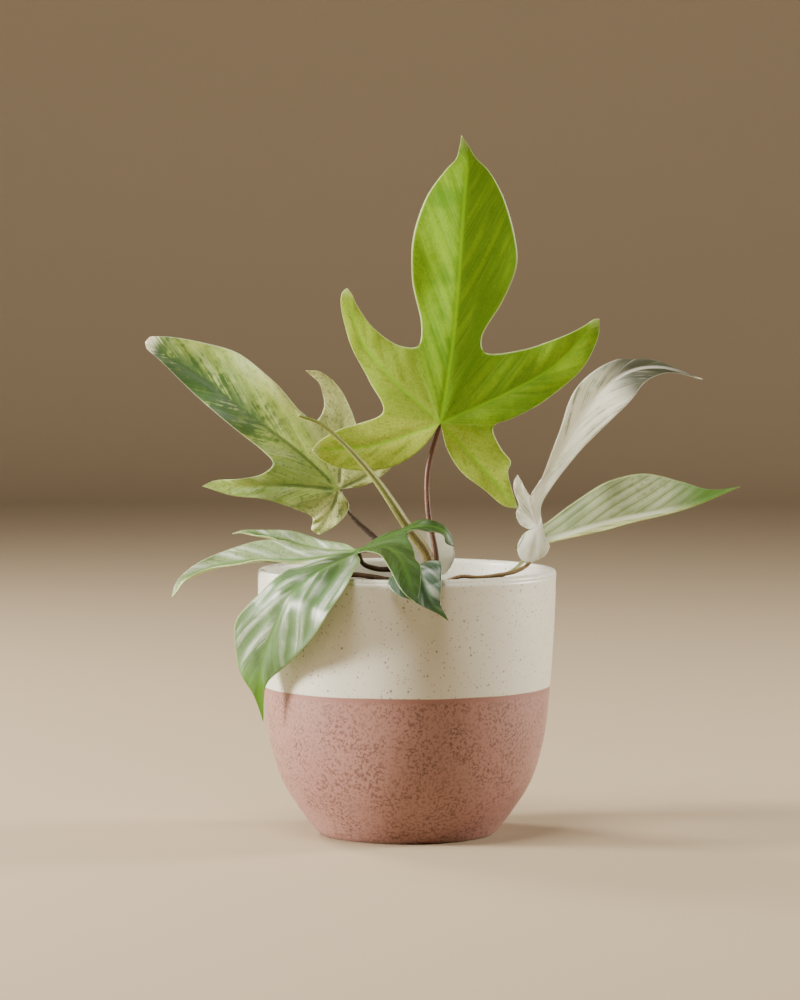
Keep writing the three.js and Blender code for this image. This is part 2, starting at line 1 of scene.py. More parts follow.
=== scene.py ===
# A young variegated climbing philodendron in a two-tone stoneware tub.
# Lengths in the dictionaries are millimetres; the meshes are written in metres.
import bpy
import math
import numpy as np
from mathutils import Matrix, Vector


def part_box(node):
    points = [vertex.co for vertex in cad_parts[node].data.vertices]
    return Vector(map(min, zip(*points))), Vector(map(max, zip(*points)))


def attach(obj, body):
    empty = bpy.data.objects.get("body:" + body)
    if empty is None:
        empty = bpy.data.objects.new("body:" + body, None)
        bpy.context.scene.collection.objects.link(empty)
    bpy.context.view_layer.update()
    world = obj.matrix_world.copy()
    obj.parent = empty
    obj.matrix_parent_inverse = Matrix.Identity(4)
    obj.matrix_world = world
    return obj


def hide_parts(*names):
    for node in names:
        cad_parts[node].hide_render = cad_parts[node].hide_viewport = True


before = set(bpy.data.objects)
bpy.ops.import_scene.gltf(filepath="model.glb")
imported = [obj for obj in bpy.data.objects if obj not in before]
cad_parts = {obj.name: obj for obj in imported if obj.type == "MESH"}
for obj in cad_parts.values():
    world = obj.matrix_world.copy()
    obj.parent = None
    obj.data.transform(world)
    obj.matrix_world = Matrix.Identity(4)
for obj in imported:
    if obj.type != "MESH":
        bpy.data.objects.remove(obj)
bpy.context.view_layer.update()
mm = 0.001
fullTurn = 2 * math.pi


# Small tools

def linear(hexCode):
    values = [int(hexCode[i:i + 2], 16) / 255 for i in (1, 3, 5)]
    return [v / 12.92 if v <= 0.04045 else ((v + 0.055) / 1.055) ** 2.4 for v in values] + [1]


def newMaterial(name):
    material = bpy.data.materials.new(name)
    material.use_nodes = True
    material.node_tree.nodes.clear()
    return material, material.node_tree


def add(tree, kind, inputs=(), stops=(), **settings):
    # inputs go by name, or in order into the sockets in use; each is a number, a hex colour,
    # a socket, or a node, which stands for its first output in use
    node = tree.nodes.new("ShaderNode" + kind)
    for name, value in settings.items():
        setattr(node, name, value)
    if isinstance(inputs, dict):
        pairs = [(node.inputs[name], value) for name, value in inputs.items()]
    else:
        pairs = zip([socket for socket in node.inputs if socket.enabled], inputs)
    for socket, value in pairs:
        if isinstance(value, str):
            value = linear(value)
        if isinstance(value, bpy.types.Node):
            value = next(output for output in value.outputs if output.enabled)
        if isinstance(value, bpy.types.NodeSocket):
            tree.links.new(value, socket)
        else:
            socket.default_value = value
    if stops:
        elements = node.color_ramp.elements
        while len(elements) < len(stops):
            elements.new(0.5)
        for element, (place, colour) in zip(elements, stops):
            element.position = place
            element.color = linear(colour)
    return node


def catmull(points, t):
    # centripetal spline through the points, at values of t from 0 to 1
    p = np.array(points, float)
    q = np.vstack([2 * p[0] - p[1], p, 2 * p[-1] - p[-2]])
    u = np.clip(np.asarray(t, float), 0, 1) * (len(p) - 1)
    i = np.minimum(u.astype(int), len(p) - 2)
    w = (u - i)[:, None]
    p0, p1, p2, p3 = q[i], q[i + 1], q[i + 2], q[i + 3]

    def step(a, b):
        return np.maximum(np.sum((a - b) ** 2, axis=1) ** 0.25, 1e-4)[:, None]

    d0, d1, d2 = step(p0, p1), step(p1, p2), step(p2, p3)
    t1 = ((p1 - p0) / d0 - (p2 - p0) / (d0 + d1) + (p2 - p1) / d1) * d1
    t2 = ((p2 - p1) / d1 - (p3 - p1) / (d1 + d2) + (p3 - p2) / d2) * d1
    c2 = 3 * (p2 - p1) - 2 * t1 - t2
    c3 = 2 * (p1 - p2) + t1 + t2
    return p1 + w * (t1 + w * (c2 + w * c3))


def evenly(points, count, start=0.0, end=1.0):
    # count + 1 places at even distances along a stretch of the spline
    fine = catmull(points, np.linspace(start, end, 400))
    run = distances(fine)
    want = np.linspace(0, run[-1], count + 1)
    return np.column_stack([np.interp(want, run, fine[:, k]) for k in range(fine.shape[1])])


def distances(points):
    # how far each point lies along the line through them all
    return np.concatenate([[0], np.cumsum(np.linalg.norm(np.diff(points, axis=0), axis=1))])


def unit(v):
    return v / np.maximum(np.linalg.norm(v, axis=-1, keepdims=True), 1e-12)


def smooth(value, low, high):
    t = np.clip((value - low) / (high - low), 0, 1)
    return t * t * (3 - 2 * t)


def ripple(points, size, seed):
    # soft random swell between -1 and 1, about size mm from crest to crest
    draw = np.random.default_rng(seed)
    total = np.zeros(len(points))
    for _ in range(7):
        direction = unit(draw.normal(size=3)) * draw.uniform(0.6, 1.5) * fullTurn / size
        total += np.sin(points @ direction + draw.uniform(0, 6.3))
    return total / 4


def circle(count):
    turns = np.linspace(0, fullTurn, count, endpoint=False)
    return np.column_stack([np.cos(turns), np.sin(turns)])


def turned(outline, sides, isClosed=True):
    # a profile of (radius, height) turned about Z; it starts on the axis and, when it is
    # closed, ends there too
    rings = outline[1:-1] if isClosed else outline[1:]
    points = [(0, 0, outline[0][1])]
    for r, z in rings:
        points.extend((r * x, r * y, z) for x, y in circle(sides))
    top = 1 + (len(rings) - 1) * sides
    faces = []
    for j in range(sides):
        k = (j + 1) % sides
        faces.append((0, 1 + k, 1 + j))
        for a in range(1, top, sides):
            b = a + sides
            faces.append((a + j, a + k, b + k, b + j))
        if isClosed:
            faces.append((top + j, top + k, len(points)))
    if isClosed:
        points.append((0, 0, outline[-1][1]))
    return np.array(points), faces


def inBox(points, node):
    # a visible surface stays inside the box of its CAD node
    low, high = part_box(node)
    return np.clip(points, np.array(low) / mm, np.array(high) / mm)


def makeObject(name, points, faces, material, uvs=None):
    mesh = bpy.data.meshes.new(name)
    mesh.from_pydata((np.asarray(points) * mm).tolist(), [], faces)
    for layer, values in (uvs or {}).items():
        mesh.uv_layers.new(name=layer).data.foreach_set("uv", np.asarray(values, float).ravel())
    mesh.polygons.foreach_set("use_smooth", [True] * len(mesh.polygons))
    mesh.materials.append(material)
    mesh.update()
    return placeObject(name, mesh)


def placeObject(name, data, place=(0, 0, 0), target=None):
    # a camera or a light looks at its target
    made = bpy.data.objects.new(name, data)
    made.location = [v * mm for v in place]
    if target:
        aim = Vector(target) - Vector(place)
        made.rotation_euler = aim.to_track_quat("-Z", "Y").to_euler()
    bpy.context.scene.collection.objects.link(made)
    return made


def settle(piece, slot, *nodes):
    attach(piece, "root")
    if nodes:
        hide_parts(*nodes)


# Camera: at the height of the leaves, looking slightly down

camera = {
    "place": (-3, -1827, 256),
    "target": (-3, 0, 146),
    "lens": 150.9,
    "sensor": 36,
    "metresSeen": 20,
}
cameraData = bpy.data.cameras.new("camera")
cameraData.lens = camera["lens"]
cameraData.sensor_width = camera["sensor"]
cameraData.sensor_fit = "AUTO"
cameraData.clip_end = camera["metresSeen"]
bpy.context.scene.camera = placeObject("camera", cameraData, camera["place"], camera["target"])
print("camera placed")


# Studio: a round pale cove, a soft light low on each side, weak ones behind and above

studio = {
    "coveColour": "#ab9a7f",
    "floorRings": (200, 600, 1200, 2400),
    "bend": 800,
    "wallHeight": 3000,
    "coveSides": 96,
    "lightTarget": (0, 0, 140),
    "world": ("#efe6da", 0.035),
    "lights": [
        # name, place, size, watts, colour
        ("leftSoftbox", (-1500, -170, 420), 400, 72, "#fff8ee"),
        ("rightSoftbox", (1500, 350, 450), 400, 40, "#fff6ea"),
        ("backSoftbox", (-900, 900, 1000), 400, 22, "#fff6e8"),
        ("topSoftbox", (-300, -520, 1450), 600, 22, "#fff8ee"),
    ],
}


def mattEmulsion(hexCode):
    # emulsion paint, rolled on: even and without gloss
    material, tree = newMaterial("rolledMattEmulsion")
    paint = add(tree, "BsdfPrincipled", {"Base Color": hexCode, "Roughness": 0.9})
    add(tree, "OutputMaterial", [paint])
    return material


def buildStudio(settings):
    floor, bend = settings["floorRings"][-1], settings["bend"]
    profile = [(0, 0)] + [(radius, 0) for radius in settings["floorRings"]]
    for turn in np.linspace(0, math.pi / 2, 13)[1:]:
        profile.append((floor + bend * math.sin(turn), bend - bend * math.cos(turn)))
    profile.append((floor + bend, settings["wallHeight"]))
    points, faces = turned(profile, settings["coveSides"], isClosed=False)
    inward = [face[::-1] for face in faces]
    makeObject("sweep", points, inward, mattEmulsion(settings["coveColour"]))
    for name, place, size, watts, colour in settings["lights"]:
        data = bpy.data.lights.new(name, "AREA")
        data.size = size * mm
        data.energy = watts
        data.color = linear(colour)[:3]
        placeObject(name, data, place, settings["lightTarget"])
    world = bpy.data.worlds.new("studioLight")
    world.use_nodes = True
    colour, strength = settings["world"]
    sky = world.node_tree.nodes["Background"]
    sky.inputs["Color"].default_value = linear(colour)
    sky.inputs["Strength"].default_value = strength
    bpy.context.scene.world = world


buildStudio(studio)
print("studio built")


# Tub: thrown stoneware with a satin glaze, dipped in rose below and cream above

tub = {
    "height": 116,
    "rimRadius": 65.2,
    "footRadius": 38.6,
    "wall": 3.6,
    "floor": 6,
    "footRound": 1.2,
    # radius and height up the outside, then how far in and how high down the inside
    "belly": [(46.6, 10.5), (54.6, 23.5), (60, 41.5), (62.8, 66), (64.9, 100)],
    "inside": [(0, 113), (0.8, 90), (2.6, 60), (6.5, 34), (13, 17), (22, 7.5), (28, 6)],
    "ringSpacing": 5.5,
    "ringDepth": 0.035,
    "swell": 0.05,
    "swellSize": 40,
    "sides": 224,
    "glazeLine": 65.2,
    "lineSway": 0.35,
    "lineSoftness": 0.25,
    "band": (2.6, 1.4),  # it starts and is full this far under the line
    "creamColours": ("#dcdccf", "#cfcdbd"),
    "creamSpeck": "#5c4e2e",
    "roseColours": ("#a87e76", "#956b63"),
    "roseBand": "#93665f",
    "roseSpeck": "#54342d",
    # spacing in mm, smallest and largest in shares of it, share of the cells that have one
    "creamSpecks": (2.4, 0.12, 0.3, 0.6),
    "faintSpecks": (1.4, 0.15, 0.38, 0.55),
    "roseSpecks": (1.3, 0.15, 0.46, 0.6),
    "roughness": 0.36,
}


def tubOutline(settings):
    rim, foot = settings["rimRadius"], settings["footRadius"]
    height, lip = settings["height"], settings["wall"] / 2
    belly = evenly([(foot, 0)] + settings["belly"] + [(rim, height - lip)], 72)
    belly = belly[belly[:, 1] > settings["footRound"]]
    turns = np.linspace(0, math.pi, 14)
    top = np.column_stack([rim - lip + lip * np.cos(turns), height - lip + lip * np.sin(turns)])
    inside = evenly([(rim - 2 * lip - inward, z) for inward, z in settings["inside"]], 30)
    base = [(0, 0), (foot * 0.5, 0), (foot - settings["footRound"], 0), (foot - 0.35, 0.3)]
    return np.vstack([base, belly, top, inside, [(0, settings["floor"])]])


def stoneware(settings):
    # glazed stoneware, wheel thrown and dipped twice: satin sheen, iron specks that bled
    # through the glaze, and a darker, smoother band where the rose coat ends
    material, tree = newMaterial("satinGlazedStoneware")
    place = add(tree, "TexCoord").outputs["Object"]
    height = add(tree, "SeparateXYZ", [place]).outputs["Z"]
    sway = add(tree, "TexNoise", {"Vector": place, "Scale": 1 / (30 * mm), "Detail": 2.0})
    line = add(tree, "Math", [sway, settings["lineSway"] * 2 * mm, height],
               operation="MULTIPLY_ADD")
    start, soft = settings["glazeLine"] + settings["lineSway"], settings["lineSoftness"]
    above = add(tree, "MapRange", [line, (start - soft) * mm, (start + soft) * mm],
                interpolation_type="SMOOTHSTEP")
    inBand = add(tree, "MapRange", [line, *[(start - under) * mm for under in settings["band"]]],
                 interpolation_type="SMOOTHSTEP")
    cloud = add(tree, "TexNoise", {"Vector": place, "Scale": 1 / (26 * mm), "Detail": 4.0})
    cream = add(tree, "Mix", [cloud, *settings["creamColours"]], data_type="RGBA")
    rose = add(tree, "Mix", [cloud, *settings["roseColours"]], data_type="RGBA")

    def specks(spacing, smallest, largest, share):
        cells = add(tree, "TexVoronoi", {"Vector": place, "Scale": 1 / (spacing * mm)})
        pick = add(tree, "SeparateColor", [cells.outputs["Color"]])
        size = add(tree, "Math", [pick.outputs["Green"], largest - smallest, smallest],
                   operation="MULTIPLY_ADD")
        edge = add(tree, "Math", [size, cells], operation="SUBTRACT")
        dot = add(tree, "MapRange", [edge, 0.0, 0.14], interpolation_type="SMOOTHSTEP")
        kept = add(tree, "Math", [pick, share], operation="LESS_THAN")
        return add(tree, "Math", [dot, kept], operation="MULTIPLY")

    # sparse and faint in the cream
    patch = add(tree, "TexNoise", {"Vector": place, "Scale": 1 / (12 * mm), "Detail": 3.0})
    crowd = add(tree, "MapRange", [patch, 0.36, 0.6], interpolation_type="SMOOTHSTEP")
    sparse = add(tree, "Math", [crowd, 0.7, 0.15], operation="MULTIPLY_ADD")
    few = add(tree, "Math", [specks(*settings["creamSpecks"]), sparse], operation="MULTIPLY")
    faint = add(tree, "Math", [specks(*settings["faintSpecks"]), 0.45], operation="MULTIPLY")
    creamDots = add(tree, "Math", [few, faint], operation="MAXIMUM")
    cream = add(tree, "Mix", [creamDots, cream, settings["creamSpeck"]], data_type="RGBA")

    # crowded and patchy in the rose, and nearly gone from the band
    bled = add(tree, "TexNoise", {
        "Vector": place, "Scale": 1 / (1.3 * mm), "Detail": 4.0, "Roughness": 0.62})
    stain = add(tree, "MapRange", [bled, 0.47, 0.62], interpolation_type="SMOOTHSTEP")
    many = add(tree, "Math", [specks(*settings["roseSpecks"]), stain], operation="MAXIMUM")
    dense = add(tree, "Math", [crowd, 0.35, 0.38], operation="MULTIPLY_ADD")
    spotted = add(tree, "Math", [many, dense], operation="MULTIPLY")
    free = add(tree, "Math", [inBand, -0.85, 1.0], operation="MULTIPLY_ADD")
    roseDots = add(tree, "Math", [spotted, free], operation="MULTIPLY")
    banded = add(tree, "Math", [inBand, 0.8], operation="MULTIPLY")
    rose = add(tree, "Mix", [banded, rose, settings["roseBand"]], data_type="RGBA")
    rose = add(tree, "Mix", [roseDots, rose, settings["roseSpeck"]], data_type="RGBA")
    colour = add(tree, "Mix", [above, rose, cream], data_type="RGBA")

    # a faint orange peel, and the step at the dip line
    peel = add(tree, "TexNoise", {"Vector": place, "Scale": 1 / (2.2 * mm), "Detail": 3.0})
    bump = add(tree, "Bump", {"Strength": 0.25, "Distance": 0.12 * mm, "Height": peel})
    step = add(tree, "Bump", {
        "Strength": 0.8, "Distance": 0.15 * mm, "Height": above, "Normal": bump})
    rough = settings["roughness"]
    gloss = add(tree, "MapRange", {
        "Value": cloud, "To Min": rough - 0.05, "To Max": rough + 0.1})
    glaze = add(tree, "BsdfPrincipled", {
        "Base Color": colour, "Roughness": gloss, "IOR": 1.5, "Coat Weight": 0.12,
        "Coat Roughness": 0.35, "Normal": step})
    add(tree, "OutputMaterial", [glaze])
    return material


def buildTub(settings):
    points, faces = turned(tubOutline(settings), settings["sides"])
    radius = np.hypot(points[:, 0], points[:, 1])
    z = points[:, 2]
    # the rings of the throwing, cut into the outside between the foot and the rim
    isOutside = (radius > settings["footRadius"]) & (z > 4) & (z < settings["height"] - 4)
    rings = settings["ringDepth"] * np.sin(z * fullTurn / settings["ringSpacing"])
    rings += settings["swell"] * ripple(points, settings["swellSize"], 3)
    shift = np.where(isOutside, np.minimum(rings - 0.06, 0), 0)
    points[:, :2] *= (1 + shift / np.maximum(radius, 1))[:, None]
    settle(makeObject("glazedTub", points, faces, stoneware(settings)), "stoneware", "tub")


buildTub(tub)
print("tub built")


# Compost: dark peat with bark chips and a few white grains, level below the rim

compost = {
    "level": 103,
    "crumbs": [(0.55, 9, 5), (0.35, 3.6, 6), (0.9, 38, 7)],  # height, size, seed
    "sunk": 0.4,
    "hole": (8.0, -8.0),
    "holeRadius": 4.9,
    "holeFloor": 83.6,
    "wallRadius": 61.3,
    "under": [(53.7, 34.0), (32.2, 6.5)],  # radius and height down the tub's inside
    "rings": 90,
    "spokes": 260,
    "colours": ("#1f1611", "#4a3628"),
    "strewn": [
        # name, material, count, sizes, colours, seed
        ("bark_chips", "compostedBark", 260, (1.0, 3.4), ("#5a3d28", "#2c1c13"), 21),
        ("mineral_grains", "crushedPumice", 46, (0.8, 1.7), ("#d9d4c6", "#b7b0a0"), 22),
    ],
    "strewnRadius": 58,
    "clearOfStem": 7,
}


def pottingCompost(settings):
    # moist peat and bark, hand filled: matt, nearly black in the gaps, brown on the crumbs
    material, tree = newMaterial("moistPeatCompost")
    place = add(tree, "TexCoord").outputs["Object"]
    crumb = add(tree, "TexNoise", {"Vector": place, "Scale": 1 / (1.6 * mm), "Detail": 6.0})
    fibre = add(tree, "TexVoronoi", {"Vector": place, "Scale": 1 / (2.4 * mm)})
    lifted = add(tree, "Math", [fibre, 0.6], operation="ADD")
    height = add(tree, "Math", [crumb, lifted], operation="MULTIPLY")
    dark, light = settings["colours"]
    colour = add(tree, "ValToRGB", [height], stops=[(0.25, dark), (0.75, light)])
    bump = add(tree, "Bump", {"Strength": 0.7, "Distance": 0.6 * mm, "Height": crumb})
    soil = add(tree, "BsdfPrincipled", {
        "Base Color": colour, "Roughness": 0.92, "IOR": 1.4, "Normal": bump})
    add(tree, "OutputMaterial", [soil])
    return material


def brokenGrain(name, colours):
    # composted bark and crushed pumice: dry, matt, broken faces
    material, tree = newMaterial(name)
    place = add(tree, "TexCoord").outputs["Object"]
    grain = add(tree, "TexNoise", {"Vector": place, "Scale": 1 / (3 * mm), "Detail": 5.0})
    colour = add(tree, "Mix", [grain, *colours], data_type="RGBA")
    bump = add(tree, "Bump", {"Strength": 0.5, "Distance": 0.3 * mm, "Height": grain})
    skin = add(tree, "BsdfPrincipled", {"Base Color": colour, "Roughness": 0.88, "Normal": bump})
    add(tree, "OutputMaterial", [skin])
    return material


def soilHeight(settings, points):
    crumbs = sum(height * ripple(points, size, seed) for height, size, seed in settings["crumbs"])
    return settings["level"] + crumbs - settings["sunk"]


def buildCompost(settings):
    # rings from the stem's hole out to the wall, then down to the tub's floor
    side = circle(settings["spokes"])
    n = settings["spokes"]
    hole = np.array(settings["hole"])
    start = hole + side * settings["holeRadius"]
    across = side @ hole
    reach = np.sqrt(across ** 2 - hole @ hole + settings["wallRadius"] ** 2) - across
    end = hole + side * reach[:, None]
    rings = [np.column_stack([start, np.full(n, settings["holeFloor"])])]
    for share in np.arange(settings["rings"] + 1) / settings["rings"]:
        flat = np.column_stack([start * (1 - share) + end * share, np.zeros(n)])
        flat[:, 2] = soilHeight(settings, flat)
        rings.append(flat)
    for radius, height in settings["under"]:
        rings.append(np.column_stack([side * radius, np.full(n, height)]))
    faces = [(i * n + j, (i + 1) * n + j, (i + 1) * n + (j + 1) % n, i * n + (j + 1) % n)
             for i in range(len(rings) - 1) for j in range(n)]
    faces.append(tuple(range(n)))
    faces.append(tuple(reversed(range((len(rings) - 1) * n, len(rings) * n))))
    piece = makeObject("potting_compost", np.vstack(rings), faces, pottingCompost(settings))
    settle(piece, "compost", "compost")
    for strewn in settings["strewn"]:
        strew(settings, *strewn)


def strew(settings, name, materialName, count, sizes, colours, seed):
    # rough flat boxes, each turned and tilted, half sunk in the compost
    draw = np.random.default_rng(seed)
    corners = np.array([(x, y, z) for x in (-1, 1) for y in (-1, 1) for z in (-1, 1)], float)
    quads = ((0, 1, 3, 2), (4, 6, 7, 5), (0, 4, 5, 1), (2, 3, 7, 6), (0, 2, 6, 4), (1, 5, 7, 3))
    points, faces = [], []
    while len(faces) < count * len(quads):
        spot = draw.uniform(-settings["strewnRadius"], settings["strewnRadius"], 2)
        fromStem = np.hypot(*(spot - settings["hole"]))
        if np.hypot(*spot) > settings["strewnRadius"] or fromStem < settings["clearOfStem"]:
            continue
        size = draw.uniform(*sizes)
        box = corners * (size * np.array([1, draw.uniform(0.4, 0.8), draw.uniform(0.18, 0.4)]) / 2)
        box *= draw.uniform(0.7, 1.15, box.shape)
        turn, tilt = draw.uniform(0, 6.3), draw.uniform(-0.35, 0.35)
        spin = np.array([[math.cos(turn), -math.sin(turn), 0],
                         [math.sin(turn), math.cos(turn), 0],
                         [0, 0, 1]])
        lean = np.array([[1, 0, 0],
                         [0, math.cos(tilt), -math.sin(tilt)],
                         [0, math.sin(tilt), math.cos(tilt)]])
        ground = soilHeight(settings, np.array([[*spot, 0.0]]))[0]
        first = len(points)
        points.extend(box @ lean.T @ spin.T + [*spot, ground + size * 0.06])
        faces.extend(tuple(first + k for k in quad) for quad in quads)
    settle(makeObject(name, points, faces, brokenGrain(materialName, colours)), "compost")


buildCompost(compost)
print("compost built")


# Stems and stalks

tubes = {
    "stepsPerPoint": 14,
    "stalkSides": 28,
    "stemSides": 36,
    "rolledSides": 64,
    "ridges": 11,
}


def plantStalk(name, foot, middle, top, fleckColour, roughness=0.42):
    # grown stalk: waxy skin over ridged fibres, its colour changing from foot to blade
    material, tree = newMaterial(name)
    run = add(tree, "SeparateXYZ", [add(tree, "UVMap", uv_map="stalkMap")])
    place = add(tree, "TexCoord").outputs["Object"]
    colour = add(tree, "ValToRGB", [run], stops=[(0.0, foot), (0.45, middle), (1.0, top)])
    fleck = add(tree, "TexNoise", {"Vector": place, "Scale": 1 / (1.1 * mm), "Detail": 3.0})
    dots = add(tree, "MapRange", [fleck, 0.54, 0.66, 0.0, 0.55], interpolation_type="SMOOTHSTEP")
    blotch = add(tree, "TexNoise", {"Vector": place, "Scale": 1 / (9 * mm), "Detail": 2.0})
    patches = add(tree, "Math", [blotch, 0.4], operation="MULTIPLY")
    tone = add(tree, "Mix", [dots, colour, fleckColour], data_type="RGBA")
    tone = add(tree, "Mix", [patches, tone, middle], data_type="RGBA")
    turns = add(tree, "Math", [run.outputs["Y"], fullTurn * tubes["ridges"]],
                operation="MULTIPLY")
    grooves = add(tree, "Math", [turns], operation="SINE")
    bump = add(tree, "Bump", {"Strength": 0.3, "Distance": 0.12 * mm, "Height": grooves})
    rough = add(tree, "Bump", {
        "Strength": 0.35, "Distance": 0.1 * mm, "Height": fleck, "Normal": bump})
    skin = add(tree, "BsdfPrincipled", {
        "Base Color": tone, "Roughness": roughness, "IOR": 1.43, "Normal": rough})
    add(tree, "OutputMaterial", [skin])
    return material


def grownTube(path, radii, sides, seed, lumps=0.05, roll=None, extend=0.0):
    # closed tube along a spline; roll gives the radius share at each turn, for a rolled blade
    steps = tubes["stepsPerPoint"] * (len(path) - 1)
    centre = evenly(path, steps)
    if extend:
        centre[-1] += unit(centre[-1] - centre[-2]) * extend
    run = np.linspace(0, 1, steps + 1)
    radius = np.interp(run, np.linspace(0, 1, len(radii)), radii)
    radius = radius * (1 + lumps * ripple(centre, 7, seed))
    along = unit(np.gradient(centre, axis=0))
    side = unit(np.cross(along[0], [0.3, 0.2, 1.0]))
    turns = np.linspace(0, fullTurn, sides, endpoint=False)
    rings = []
    for i in range(steps + 1):
        side = unit(side - along[i] * (side @ along[i]))
        up = np.cross(along[i], side)
        share = roll(turns, run[i]) if roll else np.ones(sides)
        spread = np.outer(np.cos(turns) * share, side) + np.outer(np.sin(turns) * share, up)
        rings.append(centre[i] + spread * radius[i])
    faces, uvs = [], []
    for i in range(steps):
        for j in range(sides):
            k = (j + 1) % sides
            a, b = i * sides, (i + 1) * sides
            faces.append((a + j, a + k, b + k, b + j))
            uvs.extend([(run[i], j / sides), (run[i], (j + 1) / sides),
                        (run[i + 1], (j + 1) / sides), (run[i + 1], j / sides)])
    faces.append(tuple(reversed(range(sides))))
    faces.append(tuple(steps * sides + j for j in range(sides)))
    uvs.extend([(0, 0)] * sides + [(1, 0)] * sides)
    return np.vstack(rings), faces, {"stalkMap": uvs}


# Leaf blades: flat outlines bent along the ribs of their lobes. base is the junction in space
# and faces the way the upper side looks. Each lobe has a rib, flat and as it runs in space:
# a path from base, or a depth for each point of a rib that is seen square on. up and down are
# the margins before and after its tip, and notch is where it parts from the next lobe.

leafBend = {
    # as a blade bends beside its ribs: the same values as its solid
    "foldReach": 25,
    "foldStart": 0.3,
    "ribSoftness": 0.3,
    "notchLead": 0.8,
    "solidRows": 12,
    "rows": 88,
    "columns": 22,
    "ribSteps": 96,
}
plainVeins = {
    "lean": 1.9, "bend": 0.015, "spacing": 13.0, "pleat": 0.2, "channel": 0.5,
    "channelWidth": 1.6, "swell": 0.35, "swellSize": 34, "seed": 4, "thickness": 0.5,
    "marginThickness": 0.45, "keel": 0.45, "keelWidth": 0.9,
}
plainFinish = {
    # colours of the blade, then of its veins, margin, tip and underside
    "lit": "#8cba0c", "deep": "#649a0a", "young": "#cbd65a", "pale": "#dfe6c0",
    # the half colour is painted shade on the top leaf's middle lobe; other leaves set a half tint
    # of their own
    "halfTintAndShade": "#6f9c12", "fibre": 0.35, "fibreColour": "#bcdc3c", "grain": 0.35,
    # the crest colour is a painted sheen, a highlight on the crests between the side veins
    "grainColour": "#5c900e", "crestSheenShare": 0.35, "crestSheenColour": "#b4da30",
    "blotches": [], "lineWidth": 0.06, "lineShare": 0.2, "lineColour": "#c5d77a",
    "ribWidth": 1.0, "ribStretch": (-0.1, 0.0, 0.8, 1.0), "ribShare": 0.7,
    "ribColour": "#8fcf1a", "marginShare": 0.6, "marginColour": "#e8efb0",
    "tipStart": 0.93, "tipFull": 1.0, "tipShare": 0.6, "tipColour": "#d6dfae", "tipFray": 0.16,
    "under": "#a0b85c", "underShare": 0.75, "roughness": 0.45, "specular": 0.5,
    "through": 0.4, "glow": "#b9e02a",
}
plainBlotch = {
    # size and reach in mm, stretch in shares of the lobe's length
    "wide": 2.0, "long": 12, "seed": 1.3, "level": 0.52, "soft": 0.05, "share": 0.8,
    "ragged": 0.45, "frayed": 0.15, "stretch": (-0.2, -0.1, 1.1, 1.2), "reach": (60, 70),
    "past": 6.0, "colour": "#5f7a4a",
}


def ribPath(lobe):
    if "path" in lobe:
        return lobe["path"]
    return [(x, depth, z) for (x, z), depth in zip(lobe["rib"], lobe["depths"])]


def makeRibs(leaf, steps):
    ribs = []
    t = np.linspace(0, 1, steps + 1)
    for lobe in leaf["lobes"]:
        flat = catmull([(0, 0)] + lobe["rib"], t)
        space = catmull([(0, 0, 0)] + ribPath(lobe), t) + np.array(leaf["base"], float)
        along = unit(np.vstack([space[1:2] - space[:1], space[2:] - space[:-2],
                                space[-1:] - space[-2:-1]]))
        faces = unit(np.array([leaf["faces"]] + lobe["faces"], float))
        spot = t * (len(faces) - 1)
        low = np.minimum(spot.astype(int), len(faces) - 2)
        up = faces[low] + (faces[low + 1] - faces[low]) * (spot - low)[:, None]
        up = unit(up - along * np.sum(up * along, axis=1, keepdims=True))
        ribs.append({"flat": flat, "space": space, "up": up, "right": np.cross(along, up),
                     "length": distances(flat), "fold": lobe.get("fold", 0),
                     "cup": lobe.get("cup", 0)})
    return ribs


def besideRib(rib, points):
    # for each flat point: where it lies along the rib, and how far to the right of it
    a = rib["flat"][:-1]
    step = rib["flat"][1:] - a
    length = np.linalg.norm(step, axis=1)
    way = step / length[:, None]
    offset = points[:, None, :] - a[None]
    along = np.einsum("psk,sk->ps", offset, way) / length
    held = np.clip(along, 0, 1)
    gone = offset - way * (length * held)[..., None]
    far = np.hypot(gone[..., 0], gone[..., 1])
    best = np.argmin(far, axis=1)
    rows = np.arange(len(points))
    last = len(a) - 1
    share, loose = held[rows, best], along[rows, best]
    share = np.where((best == 0) & (loose < 0), loose, share)
    share = np.where((best == last) & (loose > 1), loose, share)
    off = offset[rows, best]
    right = off[:, 0] * way[best, 1] - off[:, 1] * way[best, 0]
    return best, share, right, far[rows, best]


def placeOnLeaf(ribs, points):
    # where each flat point comes to lie, its place beside every rib, and each rib's share in it
    spots, weights, beside = [], [], []
    reach = leafBend["foldReach"]
    for rib in ribs:
        i, share, right, far = besideRib(rib, points)
        spot = rib["space"][i] * (1 - share)[:, None] + rib["space"][i + 1] * share[:, None]
        held = np.clip(share, 0, 1)
        mix = held[:, None]
        side = unit(rib["right"][i] * (1 - mix) + rib["right"][i + 1] * mix)
        up = unit(rib["up"][i] * (1 - mix) + rib["up"][i + 1] * mix)
        out = np.sqrt(right ** 2 + 1) - 1
        rise = rib["fold"] * np.minimum(out, reach)
        rise += rib["cup"] * np.minimum(right ** 2, reach ** 2)
        along = np.clip((i + share) / (len(rib["flat"]) - 1), 0, 1)
        rise *= smooth(along, 0, leafBend["foldStart"])
        spots.append(spot + side * right[:, None] + up * rise[:, None])
        weights.append(1 / (far ** 2 + leafBend["ribSoftness"]) ** 2)
        run = rib["length"][i] + (rib["length"][i + 1] - rib["length"][i]) * held
        beside.append((run, right))
    weights = np.array(weights) / np.sum(weights, axis=0)
    return np.einsum("rp,rpk->pk", weights, np.array(spots)), beside, weights


def notchShare(lobe, notch):
    tip = np.array(lobe["rib"][-1], float)
    return leafBend["notchLead"] * (np.array(notch) @ tip) / (tip @ tip)


